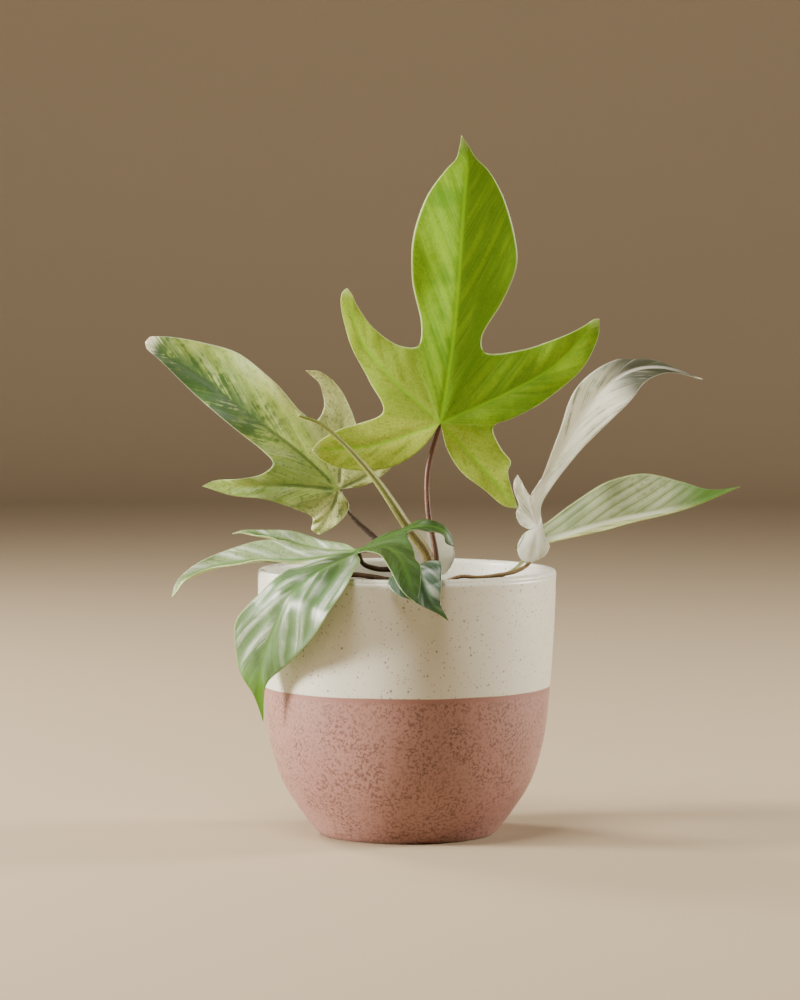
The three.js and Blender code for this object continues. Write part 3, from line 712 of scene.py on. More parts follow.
def notchRuns(lobes, rows):
    # from tip to tip by way of the notch between them: the points, the notch's share of them,
    # the notch, and how many rows of a half lobe end on the line out to it
    runs = []
    for i in range(len(lobes) + 1):
        before = [lobes[i - 1]["rib"][-1]] + lobes[i - 1]["down"] if i > 0 else []
        after = lobes[i]["up"] + [lobes[i]["rib"][-1]] if i < len(lobes) else []
        notch, inner = (0, 0), 0
        if before and after:
            notch = lobes[i - 1]["notch"]
            reach = (notchShare(lobes[i - 1], notch) + notchShare(lobes[i], notch)) / 2
            coarse = np.clip(reach, 2 / leafBend["solidRows"], 1 - 4 / leafBend["solidRows"])
            inner = int(round(rows * coarse))
        points = before + [notch] + after
        runs.append((points, len(before) / (len(points) - 1), np.array(notch, float), inner))
    return runs


def flatLeaf(leaf, rows, columns):
    # every half lobe is a grid: from the rib out to the notch line and on along the margin
    grids = []
    runs = notchRuns(leaf["lobes"], rows)
    spread = np.linspace(0, 1, columns + 1) ** 1.15  # closer together at the rib
    for which, lobe in enumerate(leaf["lobes"]):
        starts = evenly([(0, 0)] + lobe["rib"], rows)
        for isRising in (True, False):
            points, cut, notch, inner = runs[which if isRising else which + 1]
            ends = np.vstack([
                np.outer(np.arange(inner) / max(inner, 1), notch),
                evenly(points, rows - inner, cut, 1.0 if isRising else 0.0)])
            free = np.clip((np.arange(rows + 1) - inner) / (rows - inner), 0, 1)
            turns = fullTurn * lobe.get("waves", 2) * free + which * 1.7
            wave = np.sin(math.pi * free) * np.sin(turns)
            grid = starts[:, None] + (ends - starts)[:, None] * spread[None, :, None]
            grids.append({"lobe": which, "isRising": isRising, "points": grid,
                          "spread": spread, "wave": wave[:, None] * spread[None] ** 2,
                          "free": free})
    return grids


def veinRelief(veins, run, right, length, outward, rising):
    # height of the upper side beside a rib: the midrib's channel, and the pleats between the
    # side veins, which leave the two sides of the midrib by turns
    aside = np.abs(right)
    start = run - veins["lean"] * aside - veins["bend"] * aside ** 2
    start += rising * veins["spacing"] / 2
    tipFade = 1 - smooth(run / length, 0.75, 1)
    channel = -veins["channel"] * np.exp(-(aside / veins["channelWidth"]) ** 2)
    channel = channel * tipFade * smooth(run, 0, 5)
    pleat = (0.5 - 0.5 * np.cos(fullTurn * start / veins["spacing"])) ** 0.7 - 0.6
    fade = smooth(aside, 0.6, 3.5) * (1 - smooth(outward, 0.7, 1)) * smooth(run, 3, 14)
    return channel + veins["pleat"] * pleat * fade * (1 - smooth(run / length, 0.85, 1)), start


def lobeTraits(lobes, beside, shares):
    # what sets the lobes apart in colour, blended where they meet: tone, coloured tip, and the
    # half of a lobe that is tinted, with painted shade on the top leaf's middle lobe and a colour
    # of its own on the other leaves
    tones = shares.T @ np.array([lobe.get("tone", 0) for lobe in lobes], float)
    isFlagged = any("tip" in lobe for lobe in lobes)
    tips = shares.T @ np.array([lobe.get("tip", not isFlagged) for lobe in lobes], float)
    halves = np.zeros(shares.shape[1])
    for share, (_, right), lobe in zip(shares, beside, lobes):
        if "half" in lobe:
            halves += share * smooth(right * lobe["half"], -0.8, 1.6)
    return tones, halves, tips


def facing(points, quads):
    diagonals = np.cross(points[quads[:, 2]] - points[quads[:, 0]],
                         points[quads[:, 3]] - points[quads[:, 1]])
    normals = np.zeros_like(points)
    for k in range(4):
        np.add.at(normals, quads[:, k], diagonals)
    return unit(normals)


def bladeSkin(quads, corners, count):
    # the upper side, the lower side and a strip between them round the edge; with each face
    # go the grid places that its corners came from, and the side that it is on
    faces, places, sides = [], [], []
    for place, quad in zip(corners, quads):
        keep = [k for k in range(4) if quad[k] != quad[k - 1]]
        if len(keep) > 2:
            faces.append(tuple(int(quad[k]) for k in keep))
            places.append([place[k] for k in keep])
            sides.append(1.0)
    edges = {}
    for face, place in zip(faces, places):
        for k in range(len(face)):
            pair = (face[k - 1], face[k])
            if pair[::-1] in edges:
                del edges[pair[::-1]]
            else:
                edges[pair] = (place[k - 1], place[k])
    for face, place in list(zip(faces, places)):
        faces.append(tuple(i + count for i in reversed(face)))
        places.append(list(reversed(place)))
        sides.append(-1.0)
    for (start, end), (placeStart, placeEnd) in edges.items():
        faces.append((end, start, start + count, end + count))
        places.append([placeEnd, placeStart, placeStart, placeEnd])
        sides.append(1.0)
    return faces, np.concatenate(places), np.repeat(sides, [len(face) for face in faces])


def bladeMesh(leaf, veins):
    lobes = leaf["lobes"]
    grids = flatLeaf(leaf, leafBend["rows"], leafBend["columns"])
    ribs = makeRibs(leaf, leafBend["ribSteps"])
    shape = grids[0]["points"].shape[:2]
    size = shape[0] * shape[1]
    flat = np.vstack([grid["points"].reshape(-1, 2) for grid in grids])
    placed, beside, shares = placeOnLeaf(ribs, flat)
    lobeOf = np.repeat([grid["lobe"] for grid in grids], size)
    rising = np.repeat([float(grid["isRising"]) for grid in grids], size)
    run = np.choose(lobeOf, [place[0] for place in beside])
    right = np.choose(lobeOf, [place[1] for place in beside])
    length = np.array([rib["length"][-1] for rib in ribs])[lobeOf]
    outward = np.concatenate([np.tile(grid["spread"], shape[0]) for grid in grids])
    free = np.concatenate([np.repeat(grid["free"], shape[1]) for grid in grids])
    wave = np.concatenate([grid["wave"].ravel() for grid in grids])
    relief, start = veinRelief(veins, run, right, length, outward, rising)
    relief = relief + wave * leaf["wave"]
    deep, wide = np.array([lobe.get("valley", (0, 1)) for lobe in lobes], float)[lobeOf].T
    ends = smooth(run, 4, 16) * (1 - smooth(run / length, 0.75, 1))
    relief = relief - deep * ends * np.exp(-(right / wide) ** 2)

    # one vertex for each flat place: what meets there is averaged
    _, first, back = np.unique(np.round(flat, 3), axis=0, return_index=True,
                               return_inverse=True)
    back = back.ravel()
    count = np.bincount(back).astype(float)
    middle = placed[first]
    relief = np.bincount(back, relief) / count
    tipward = np.bincount(back, run / length) / count
    near = np.bincount(back, np.abs(right)) / count
    isMargin = np.bincount(back, (outward > 0.999) & (free > 0)) > 0

    corners = []
    cells = np.arange(size).reshape(shape)
    for number, grid in enumerate(grids):
        a, b, d, e = (part + number * size for part in (
            cells[:-1, :-1], cells[:-1, 1:], cells[1:, :-1], cells[1:, 1:]))
        order = (a, d, e, b) if grid["isRising"] else (a, b, e, d)
        corners.append(np.stack([o.ravel() for o in order], axis=1))
    corners = np.vstack(corners)
    quads = back[corners]

    normals = facing(middle, quads)
    swell = veins["swell"] * ripple(middle, veins["swellSize"], veins["seed"]) * smooth(near, 1, 8)
    middle = middle + normals * (relief + swell)[:, None]
    half = veins["thickness"] / 2 * np.where(isMargin, veins["marginThickness"], 1)
    keel = veins["keel"] * np.exp(-(near / veins["keelWidth"]) ** 2)
    keel *= 1 - smooth(tipward, 0.3, 1)
    points = np.vstack([middle + normals * half[:, None],
                        middle - normals * (half + keel)[:, None]])

    faces, loops, sides = bladeSkin(quads, corners, len(middle))
    tones, halves, tips = lobeTraits(lobes, beside, shares)
    toMargin = np.where(free > 0, outward, outward * 0.9)
    maps = {"veinMap": (start, right), "lobeMap": (run / length, toMargin),
            "toneMap": (tones, None), "halfMap": (halves, tips)}
    uvs = {name: np.column_stack([u[loops], sides if w is None else w[loops]])
           for name, (u, w) in maps.items()}
    return points, faces, uvs


def leafPlaces(tree):
    # what the maps of a blade say at each point: start, right and aside are mm from the rib,
    # tipward and outward shares of the lobe, and the rest is what bladeMesh blends
    vein, lobe, tone, half = (add(tree, "SeparateXYZ", [add(tree, "UVMap", uv_map=uvMap)])
                              for uvMap in ("veinMap", "lobeMap", "toneMap", "halfMap"))
    return {
        "start": vein, "right": vein.outputs["Y"],
        "aside": add(tree, "Math", [vein.outputs["Y"]], operation="ABSOLUTE"),
        "tipward": lobe, "outward": lobe.outputs["Y"],
        "tone": tone, "side": tone.outputs["Y"],
        "half": half, "onTips": half.outputs["Y"],
        "object": add(tree, "TexCoord").outputs["Object"],
    }


def streaks(tree, at, wide, long, seed, detail=4.0):
    # noise drawn out along the side veins: wide and long in mm
    across = add(tree, "Math", [at["start"], 1 / wide], operation="MULTIPLY")
    along = add(tree, "Math", [at["right"], 1 / long], operation="MULTIPLY")
    return add(tree, "TexNoise", {
        "Vector": add(tree, "CombineXYZ", [across, along, seed]), "Scale": 1.0,
        "Detail": detail, "Roughness": 0.6})


def cloud(tree, at, size, seed):
    where = add(tree, "VectorMath", [at["object"], (seed, seed, seed)], operation="ADD")
    return add(tree, "TexNoise", {
        "Vector": where, "Scale": 1 / (size * mm), "Detail": 4.0, "Roughness": 0.6})


def paint(tree, under, over, *shares):
    # lays a colour over another where all the shares say so; a share of three gives a
    # pattern and the values at which it has no effect and its full effect
    total = 1.0
    for share in shares:
        if isinstance(share, tuple):
            share = add(tree, "MapRange", share, interpolation_type="SMOOTHSTEP")
        total = add(tree, "Math", [total, share], operation="MULTIPLY")
    return add(tree, "Mix", [total, under, over], data_type="RGBA")


def variegate(tree, at, colour, blotch):
    # ragged blotches in the stretch of the lobe that has them
    seed, plain = blotch["seed"], 1 - blotch["frayed"] - blotch["ragged"]
    drawn = add(tree, "Math", [
        streaks(tree, at, blotch["wide"], blotch["long"], seed, 5.0), plain],
        operation="MULTIPLY")
    lumpy = add(tree, "Math", [
        cloud(tree, at, blotch["wide"] * 2.2, seed), blotch["ragged"], drawn],
        operation="MULTIPLY_ADD")
    frayed = add(tree, "Math", [
        streaks(tree, at, 0.7, 3.0, seed + 1), blotch["frayed"], lumpy],
        operation="MULTIPLY_ADD")
    low, full, fade, end = blotch["stretch"]
    near, far = blotch["reach"]
    shares = [(frayed, blotch["level"], blotch["level"] + blotch["soft"]),
              (at["tipward"], low, full), (at["tipward"], end, fade),
              (at["aside"], far, near), blotch["share"]]
    if "side" in blotch:
        shares.append((at["right"], -blotch["side"] * blotch["past"], blotch["side"] * 1.5))
    if blotch.get("onTips"):
        shares.append(at["onTips"])
    return paint(tree, colour, blotch["colour"], *shares)


def leafColour(tree, at, fibre, finish):
    colour = paint(tree, finish["lit"], finish["deep"], (cloud(tree, at, 16, 0.3), 0.36, 0.64))
    colour = paint(tree, colour, finish["young"], at["tone"])
    colour = paint(tree, colour, finish["pale"], at["tone"], -1.0)
    # one half of a lobe tinted: painted shade on the top leaf, the half's own colour on other
    # leaves
    colour = paint(tree, colour, finish["halfTintAndShade"], at["half"])
    colour = paint(tree, colour, finish["fibreColour"], (fibre, 0.42, 0.72), finish["fibre"])
    colour = paint(tree, colour, finish["grainColour"],
                   (cloud(tree, at, 0.8, 4.1), 0.42, 0.62), finish["grain"])

    # painted sheen: a silvery highlight laid on the crests between the side veins, but not on
    # young lobes
    veinCount = add(tree, "Math", [at["start"], finish["spacing"]], operation="DIVIDE")
    phase = add(tree, "Math", [veinCount, 0.5], operation="PINGPONG")
    offRib = (at["aside"], 0.3, 2.5)
    grown = add(tree, "Math", [1.0, at["tone"]], operation="SUBTRACT")
    colour = paint(tree, colour, finish["crestSheenColour"], (phase, 0.1, 0.42), offRib,
                   (at["outward"], 1.0, 0.8), (streaks(tree, at, 12.0, 20.0, 6.1), 0.42, 0.58),
                   grown, finish["crestSheenShare"])
    for blotch in finish["blotches"]:
        colour = variegate(tree, at, colour, {**plainBlotch, **blotch})

    # side veins, midrib, tip, margin and underside
    colour = paint(tree, colour, finish["lineColour"], (phase, finish["lineWidth"], 0.02),
                   offRib, finish["lineShare"])
    low, full, fade, end = finish["ribStretch"]
    wide = finish["ribWidth"]
    colour = paint(tree, colour, finish["ribColour"], (at["aside"], wide, wide * 0.4),
                   (at["tipward"], low, full), (at["tipward"], end, fade), finish["ribShare"])
    fray = finish["tipFray"]
    frayed = add(tree, "Math", [fibre, fray, at["tipward"]], operation="MULTIPLY_ADD")
    colour = paint(tree, colour, finish["tipColour"],
                   (frayed, finish["tipStart"] + fray / 2, finish["tipFull"] + fray / 2),
                   at["onTips"], finish["tipShare"])
    colour = paint(tree, colour, finish["marginColour"], (at["outward"], 0.955, 0.99),
                   finish["marginShare"])
    return paint(tree, colour, finish["under"], (at["side"], 0.0, -0.5), finish["underShare"])


def leafFinish(name, finish):
    # living leaf blade, grown: waxy cuticle with a satin sheen over fibres that follow the
    # side veins, light shining through, pale margin and tip
    material, tree = newMaterial(name)
    at = leafPlaces(tree)
    fibre = streaks(tree, at, 0.9, 7.0, 3.7)
    colour = leafColour(tree, at, fibre, finish)
    cells = add(tree, "TexNoise", {
        "Vector": at["object"], "Scale": 1 / (0.7 * mm), "Detail": 3.0})
    bump = add(tree, "Bump", {"Strength": 0.35, "Distance": 0.1 * mm, "Height": fibre})
    skin = add(tree, "Bump", {
        "Strength": 0.2, "Distance": 0.05 * mm, "Height": cells, "Normal": bump})
    rough = finish["roughness"]
    gloss = add(tree, "MapRange", {
        "Value": fibre, "To Min": rough - 0.06, "To Max": rough + 0.08})
    blade = add(tree, "BsdfPrincipled", {
        "Base Color": colour, "Roughness": gloss, "IOR": 1.45,
        "Specular IOR Level": finish["specular"], "Normal": skin})
    glow = add(tree, "Mix", [0.35, colour, finish["glow"]], data_type="RGBA")
    through = add(tree, "BsdfTranslucent", {"Color": glow, "Normal": skin})
    add(tree, "OutputMaterial", [add(tree, "MixShader", [finish["through"], blade, through])])
    return material


def buildLeaf(name, leaf):
    veins = {**plainVeins, **leaf["veins"]}
    finish = {**plainFinish, **leaf["finish"], "spacing": veins["spacing"]}
    points, faces, uvs = bladeMesh(leaf, veins)
    points = inBox(points, name + "_blade")
    blade = makeObject(name + "_living_blade", points, faces,
                       leafFinish("waxyBlade_" + name, finish), uvs)
    settle(blade, leaf["slot"], name + "_blade")
    stalk = leaf["stalk"]
    points, faces, uvs = grownTube(stalk["path"], stalk["radii"], tubes["stalkSides"],
                                   stalk["seed"], extend=0.3)
    skin = plantStalk("waxyStalk_" + name, *stalk["colours"])
    grown = makeObject(name + "_living_stalk", points, faces, skin, uvs)
    settle(grown, stalk["slot"], name + "_stalk")
    print("built", name)


# The leaf that stands highest: lime, with five lobes

topLeaf = {
    "base": (14.6, -9, 180), "faces": (0, -1, 0.05), "wave": 0.7, "slot": "lime_blade",
    "lobes": [
        {
            "rib": [(-29, -9.5), (-55.8, -11.6)], "depths": (1, -2), "faces": [(-0.1, -1, 0.1)],
            "up": [(-7.5, -10.4), (-20, -18.7), (-34.4, -20.6), (-44.5, -19.3), (-52.5, -15.4)],
            "down": [(-52.8, -8), (-43.5, -2.6)], "notch": (-25, 4.9), "fold": -0.12, "tone": 1,
            "valley": (0.8, 3),
        },
        {
            "rib": [(-22, 20), (-35, 37), (-40.6, 58.6)], "depths": (1, 3, -1),
            "faces": [(-0.25, -1, 0)],
            "up": [(-31.2, 18.4), (-39.5, 35.1), (-43.3, 50.6), (-42.6, 56.6)],
            "down": [(-38.4, 56), (-36.2, 50.8), (-28.9, 41.2), (-19, 34)], "notch": (-9.8, 33.4),
            "fold": -0.06, "tone": 0.6,
        },
        {
            "rib": [(6.1, 41), (10.2, 96), (11.6, 115), (8.9, 124.5)], "depths": (0, 3, 1, -1.5),
            "faces": [(0, -1, 0), (0, -1, 0.1)],
            "up": [
                (-8.4, 42), (-12.6, 64), (-12, 80), (-6.4, 97.4), (2, 109), (6.8, 114.4),
                (8.2, 119.5),
            ],
            "down": [
                (12.4, 119.4), (15.2, 114.6), (20.4, 109.4), (27, 98.4), (32, 83), (33.3, 69),
                (27, 52.8), (18, 37),
            ],
            # its right half is darkened with painted shade
            "notch": (19, 30.9), "fold": -0.3, "cup": 0.003, "half": 1,
        },
        {
            "rib": [(30, 13.5), (50, 25), (68.8, 45.2)], "depths": (2, 4, 0),
            "faces": [(0.25, -1, 0)],
            "up": [(35.6, 31.7), (53.4, 37.8), (62.4, 42.2), (66.6, 45)],
            "down": [(69, 41.8), (68.2, 36), (61.2, 22.8), (45.6, 9.5), (31, 1.8)],
            "notch": (23, -1.8), "fold": -0.1, "tone": 0.1, "valley": (1.3, 4.5),
        },
        {
            "rib": [(14, -15), (33.8, -37.2)], "depths": (1.5, -1), "faces": [(0.1, -1, 0.1)],
            "up": [(26.4, -11), (30.6, -16.6), (29.2, -21.5), (31.6, -30.5)],
            "down": [(27.6, -36), (19.2, -29.2), (9, -21.2), (2.6, -10.6)], "fold": -0.1,
            "tone": 0.8, "valley": (0.6, 3),
        },
    ],
    "veins": {"channel": 0.3, "pleat": 0.16, "spacing": 15.0, "lean": 1.9},
    "finish": {
        "lineShare": 0.1, "ribWidth": 0.9, "ribColour": "#9ad61c", "ribShare": 0.65,
        "blotches": [
            {"wide": 0.8, "long": 6, "seed": 2.4, "level": 0.545, "share": 0.4,
             "colour": "#4f7a12"},
            {"wide": 2.2, "long": 14, "seed": 6.4, "level": 0.53, "share": 0.3,
             "colour": "#5f8c18"},
        ],
    },
    "stalk": {
        "path": [
            (11.5, -7, 104), (12.6, -7.5, 121), (9.2, -6, 142), (9.2, -5.5, 160),
            (14.6, -7.1, 180),
        ],
        "radii": (1.4, 1.3, 1.2, 1.1, 1), "seed": 36, "slot": "red_stalk",
        "colours": ("#5b4830", "#5a3a2c", "#664234", "#8c7656"),
    },
}
buildLeaf("top_leaf", topLeaf)


# The pale mottled leaf that reaches out to the left

leftLeaf = {
    "base": (-29.6, 3, 150.4), "faces": (0.05, -1, 0.15), "wave": 0.9, "slot": "mottled_blade",
    "lobes": [
        {
            "rib": [(-3.5, -9), (-8.6, -19.7)], "depths": (-1, -2.5), "faces": [(0, -1, 0.2)],
            "up": [(4.3, -7.3), (-0.6, -15)], "down": [(-12, -17.5)], "notch": (-11.6, -12.2),
            "tone": 1,
        },
        {
            "rib": [(-22, 2), (-42, 1.5), (-60, 1.4)], "depths": (-2, -3, 1),
            "faces": [(-0.15, -1, 0.1)], "up": [(-19, -8.6), (-32, -4.4), (-47.2, -2.3)],
            "down": [(-54.5, 3.9), (-42, 5), (-33, 7.2)], "notch": (-28.8, 11.3), "fold": 0.1,
        },
        {
            "rib": [(-17.8, 16.5), (-36.2, 30.3), (-61, 49), (-85.7, 64)],
            "depths": (1, 4, 12, 18), "faces": [(0, -1, 0.1), (-0.1, -1, 0.2)],
            "up": [(-32.5, 16), (-49.9, 29.4), (-67, 44.5), (-80, 56.8), (-85, 61.4)],
            "down": [(-83, 66.6), (-77, 66.6), (-61, 64.1), (-44, 59), (-30, 48.6), (-17, 34)],
            "notch": (-10.5, 29.8), "fold": 0.12, "tip": 1,
        },
        {
            "rib": [(0.5, 17), (0.6, 37), (-6, 48.6), (-14.6, 52)], "depths": (2, 5, 6, 4),
            "faces": [(0.3, -1, 0)], "up": [(-6.8, 36), (-8.6, 45.4)],
            "down": [(-8.6, 51.4), (-0.5, 45), (4.7, 35.8), (8, 26)], "notch": (9.5, 18),
            "fold": 0.1, "tone": 1,
        },
        {
            "rib": [(12, 6), (25, 13)], "depths": (1, 2), "faces": [(0.1, -1, 0.1)],
            "up": [(18, 17.5)], "down": [(21.5, 8.4), (12, 2)], "tone": 0.8,
        },
    ],
    "veins": {"lean": 2.25, "spacing": 18.0, "pleat": 0.25, "seed": 5},
    "finish": {
        "lit": "#a8bc54", "deep": "#7f9c3a", "young": "#e2e6a2", "fibre": 0.35,
        # its crests carry a faint painted sheen
        "fibreColour": "#d6dda6", "grain": 0.35, "grainColour": "#86a350", "crestSheenShare": 0.2,
        "crestSheenColour": "#d3dab0", "lineColour": "#8b9a50", "lineShare": 0.15,
        "ribColour": "#3f5a2c", "ribWidth": 1.0, "ribStretch": (0.03, 0.06, 0.35, 0.6),
        "tipColour": "#eeeedd", "tipStart": 0.94, "tipFull": 0.99, "tipShare": 0.9,
        "marginShare": 0.35, "marginColour": "#dfe3c4", "under": "#b6c286", "glow": "#cfe08a",
        "through": 0.25,
        "blotches": [
            {"wide": 4.5, "long": 24, "seed": 5.2, "level": 0.43, "share": 0.95,
             "stretch": (0.36, 0.55, 0.94, 0.985), "reach": (14, 20), "side": -1, "past": 11.0,
             "colour": "#2f502c", "onTips": True},
            {"wide": 3.2, "long": 20, "seed": 9.1, "level": 0.48, "share": 0.92,
             "stretch": (0.25, 0.45, 0.92, 0.98), "reach": (6, 13), "colour": "#365828",
             "onTips": True},
            {"wide": 1.8, "long": 10, "seed": 3.6, "level": 0.55, "share": 0.8,
             "stretch": (0.05, 0.15, 0.9, 1.0), "reach": (5, 14), "side": -1, "past": 2.0,
             "colour": "#4a7030"},
            {"wide": 0.9, "long": 6, "seed": 8.8, "level": 0.53, "share": 0.6,
             "colour": "#4c7030"},
        ],
    },
    "stalk": {
        "path": [(5, -6, 106), (-5, 0, 119.5), (-14, 5, 129), (-25, 7, 139.5), (-29.6, 5.2, 150)],
        "radii": (1.6, 1.4, 1.3, 1.2, 1), "seed": 75, "slot": "brown_stalk",
        "colours": ("#3a2a24", "#4b3a34", "#5d5040", "#83756a"),
    },
}
buildLeaf("left_leaf", leftLeaf)


# The white leaf at the right, whose long middle lobe arches over

rightLeaf = {
    "base": (57.3, 3, 134.4), "faces": (-0.1, -1, 0), "wave": 0.4, "slot": "white_blade",
    "lobes": [
        {
            "rib": [(-5, 1.6), (-9.2, 3.4)], "depths": (2, 3), "faces": [(-0.3, -1, 0)],
            "up": [(-4.1, -1.2), (-7.7, 0.6)], "down": [(-9.3, 6)], "notch": (-8.2, 8.6),
        },
        {
            "rib": [(-5, 11), (-8.9, 22.4)], "depths": (1, 1), "faces": [(-0.3, -1, 0)],
            "up": [(-10.2, 14.2), (-10.6, 19.2)], "down": [(-7.2, 19.4), (-5.2, 16)],
            "notch": (-3, 13),
        },
        {
            "rib": [(0, 9.8), (0, 22), (0, 47.5), (0, 68.5), (0, 85.5), (0, 99), (0, 118)],
            "path": [
                (-0.8, 3, 9.3), (3.6, 7, 20.1), (15.7, 15, 40.8), (27.5, 20, 57.4),
                (41.3, 22, 67.1), (54.7, 22, 68.8), (73.3, 19, 63.6),
            ],
            "faces": [(-0.1, -1, 0.1), (0.1, -0.8, 0.5), (0.2, -0.7, 0.7)],
            "up": [(-1.6, 20), (-4.4, 42), (-8.6, 62), (-7.6, 80), (-3.4, 96), (-1, 107)],
            "down": [(1.4, 107), (6.6, 96), (12.6, 80), (12.5, 62), (8, 42), (4, 20), (2.4, 9)],
            "notch": (2, 2.4), "fold": 0.25, "tip": 1,
        },
        {
            "rib": [(-1, -8), (-2.7, -15.7)], "depths": (-4, -3.5), "faces": [(0.1, -1, 0.1)],
            "up": [(3, -3.6), (5, -8.6), (3, -13)],
            "down": [(-7.2, -14.6), (-9.3, -9), (-6.5, -3.4)], "cup": -0.02, "waves": 0,
        },
    ],
    "veins": {
        "lean": 3.2, "spacing": 20.0, "pleat": 0.2, "channel": 0.45, "seed": 6, "swell": 0.25,
    },
    "finish": {
        "lit": "#fdfdf4", "deep": "#f4f6e8", "young": "#f8f8ee", "fibre": 0.5,
        "fibreColour": "#c9d0b8", "grain": 0.12, "grainColour": "#cfd6bf", "crestSheenShare": 0.0,
        "lineColour": "#b5bd9c", "lineShare": 0.15, "ribColour": "#fbfbf2", "ribShare": 0.6,
        "tipStart": 0.97, "tipFull": 1.0, "tipColour": "#e9ebda", "marginColour": "#f8f8ec",
        "under": "#eef0e2", "underShare": 0.1, "glow": "#fbfbee", "through": 0.45,
        "blotches": [
            {"wide": 4.0, "long": 40, "seed": 3.1, "level": 0.53, "share": 0.75,
             "stretch": (0.1, 0.35, 1.0, 1.1), "ragged": 0.25, "colour": "#62804c"},
            {"wide": 5.0, "long": 50, "seed": 7.7, "level": 0.3, "soft": 0.12, "ragged": 0.1,
             "share": 0.95, "stretch": (0.58, 0.74, 0.96, 0.99), "colour": "#26320c",
             "onTips": True},
        ],
    },
    "stalk": {
        "path": [
            (11, -9, 108), (23, -8, 113), (31, -6, 112.6), (40, -4, 113.5), (48, -1, 115),
            (54, 2, 119), (57.3, 5, 134),
        ],
        "radii": (1.2, 0.9, 0.8, 0.9, 0.9, 0.9, 0.8), "seed": 68, "slot": "red_stalk",
        "colours": ("#86573d", "#8d7a52", "#85694a", "#b39d7c"),
    },
}
buildLeaf("right_leaf", rightLeaf)


# The narrow grey-green leaf under it

lowRightLeaf = {
    "base": (60.6, 15, 127.2), "faces": (-0.2, -0.8, 0.6), "wave": 0.5, "slot": "silver_blade",
    "lobes": [
        {
            "rib": [(-3, -6), (-6.5, -12)], "path": [(-5, 1, -1), (-13, 2, -3.5)],
            "faces": [(-0.1, -1, 0.3)], "up": [(-1, -9)], "down": [(-9, -4)], "notch": (-8.5, 3),
        },
        {
            "rib": [(0, 31), (0, 53), (0, 71.5), (0, 90.5)],
            "path": [(29, -5, 8.8), (49.5, -10, 13.2), (66.6, -15, 18.2), (84.4, -20, 24.9)],
            "faces": [(0, -0.7, 0.71), (0, -0.7, 0.71)],
            "up": [(-12.6, 17), (-16.4, 35), (-16.4, 51), (-10, 66), (-3.2, 78)],
            "down": [(1.2, 78), (2.8, 66), (5.4, 50), (6.2, 35), (3.6, 17)], "notch": (2.6, 2),
            "fold": 0.5, "tip": 1, "half": 1,
        },
        {
            "rib": [(2.4, -3.6), (4.6, -7)], "path": [(-1.4, -2, -2.4), (-3.4, -3, -5.6)],
            "faces": [(0, -1, 0.3)], "up": [(5.6, -2.4)], "down": [(1, -6)],
        },
    ],
    "veins": {"lean": 2.7, "spacing": 11.0, "pleat": 0.2, "channel": 0.6, "seed": 7},
    "finish": {
        "lit": "#a3b384", "deep": "#778b58", "young": "#d9dcc6", "fibre": 0.35,
        # its crests carry a painted silvery sheen
        "fibreColour": "#d3d9be", "grain": 0.2, "grainColour": "#94a37c", "crestSheenShare": 0.3,
        "crestSheenColour": "#dfe4d2", "lineWidth": 0.09, "lineShare": 0.65, "lineColour": "#566a38",
        "ribColour": "#e9eedb", "ribWidth": 1.7, "ribStretch": (-0.1, 0.0, 0.5, 0.75),
        "tipStart": 0.62, "tipFull": 0.84, "tipShare": 0.95, "tipColour": "#3f6c0e",
        "marginColour": "#b4c070", "under": "#b7c286", "glow": "#d8e4a0", "halfTintAndShade": "#c0c682",
        "through": 0.3,
        "blotches": [
            {"wide": 1.2, "long": 9, "seed": 4.4, "level": 0.53, "share": 0.6,
             "stretch": (0.2, 0.5, 1.1, 1.2), "colour": "#738656"},
        ],
    },
    "stalk": {
        "path": [
            (11, -5, 106), (23, -2, 110), (36, 1, 111), (46, 5, 114.5), (52, 11, 119),
            (60.6, 16.8, 124.9),
        ],
        "radii": (1.2, 0.9, 0.8, 0.8, 0.9, 0.8), "seed": 32, "slot": "green_stalk",
        "colours": ("#8d8a58", "#a3a873", "#8ea15a", "#c3c79a"),
    },
}
buildLeaf("low_right_leaf", lowRightLeaf)


# The silvery leaf that hangs over the rim at the front left

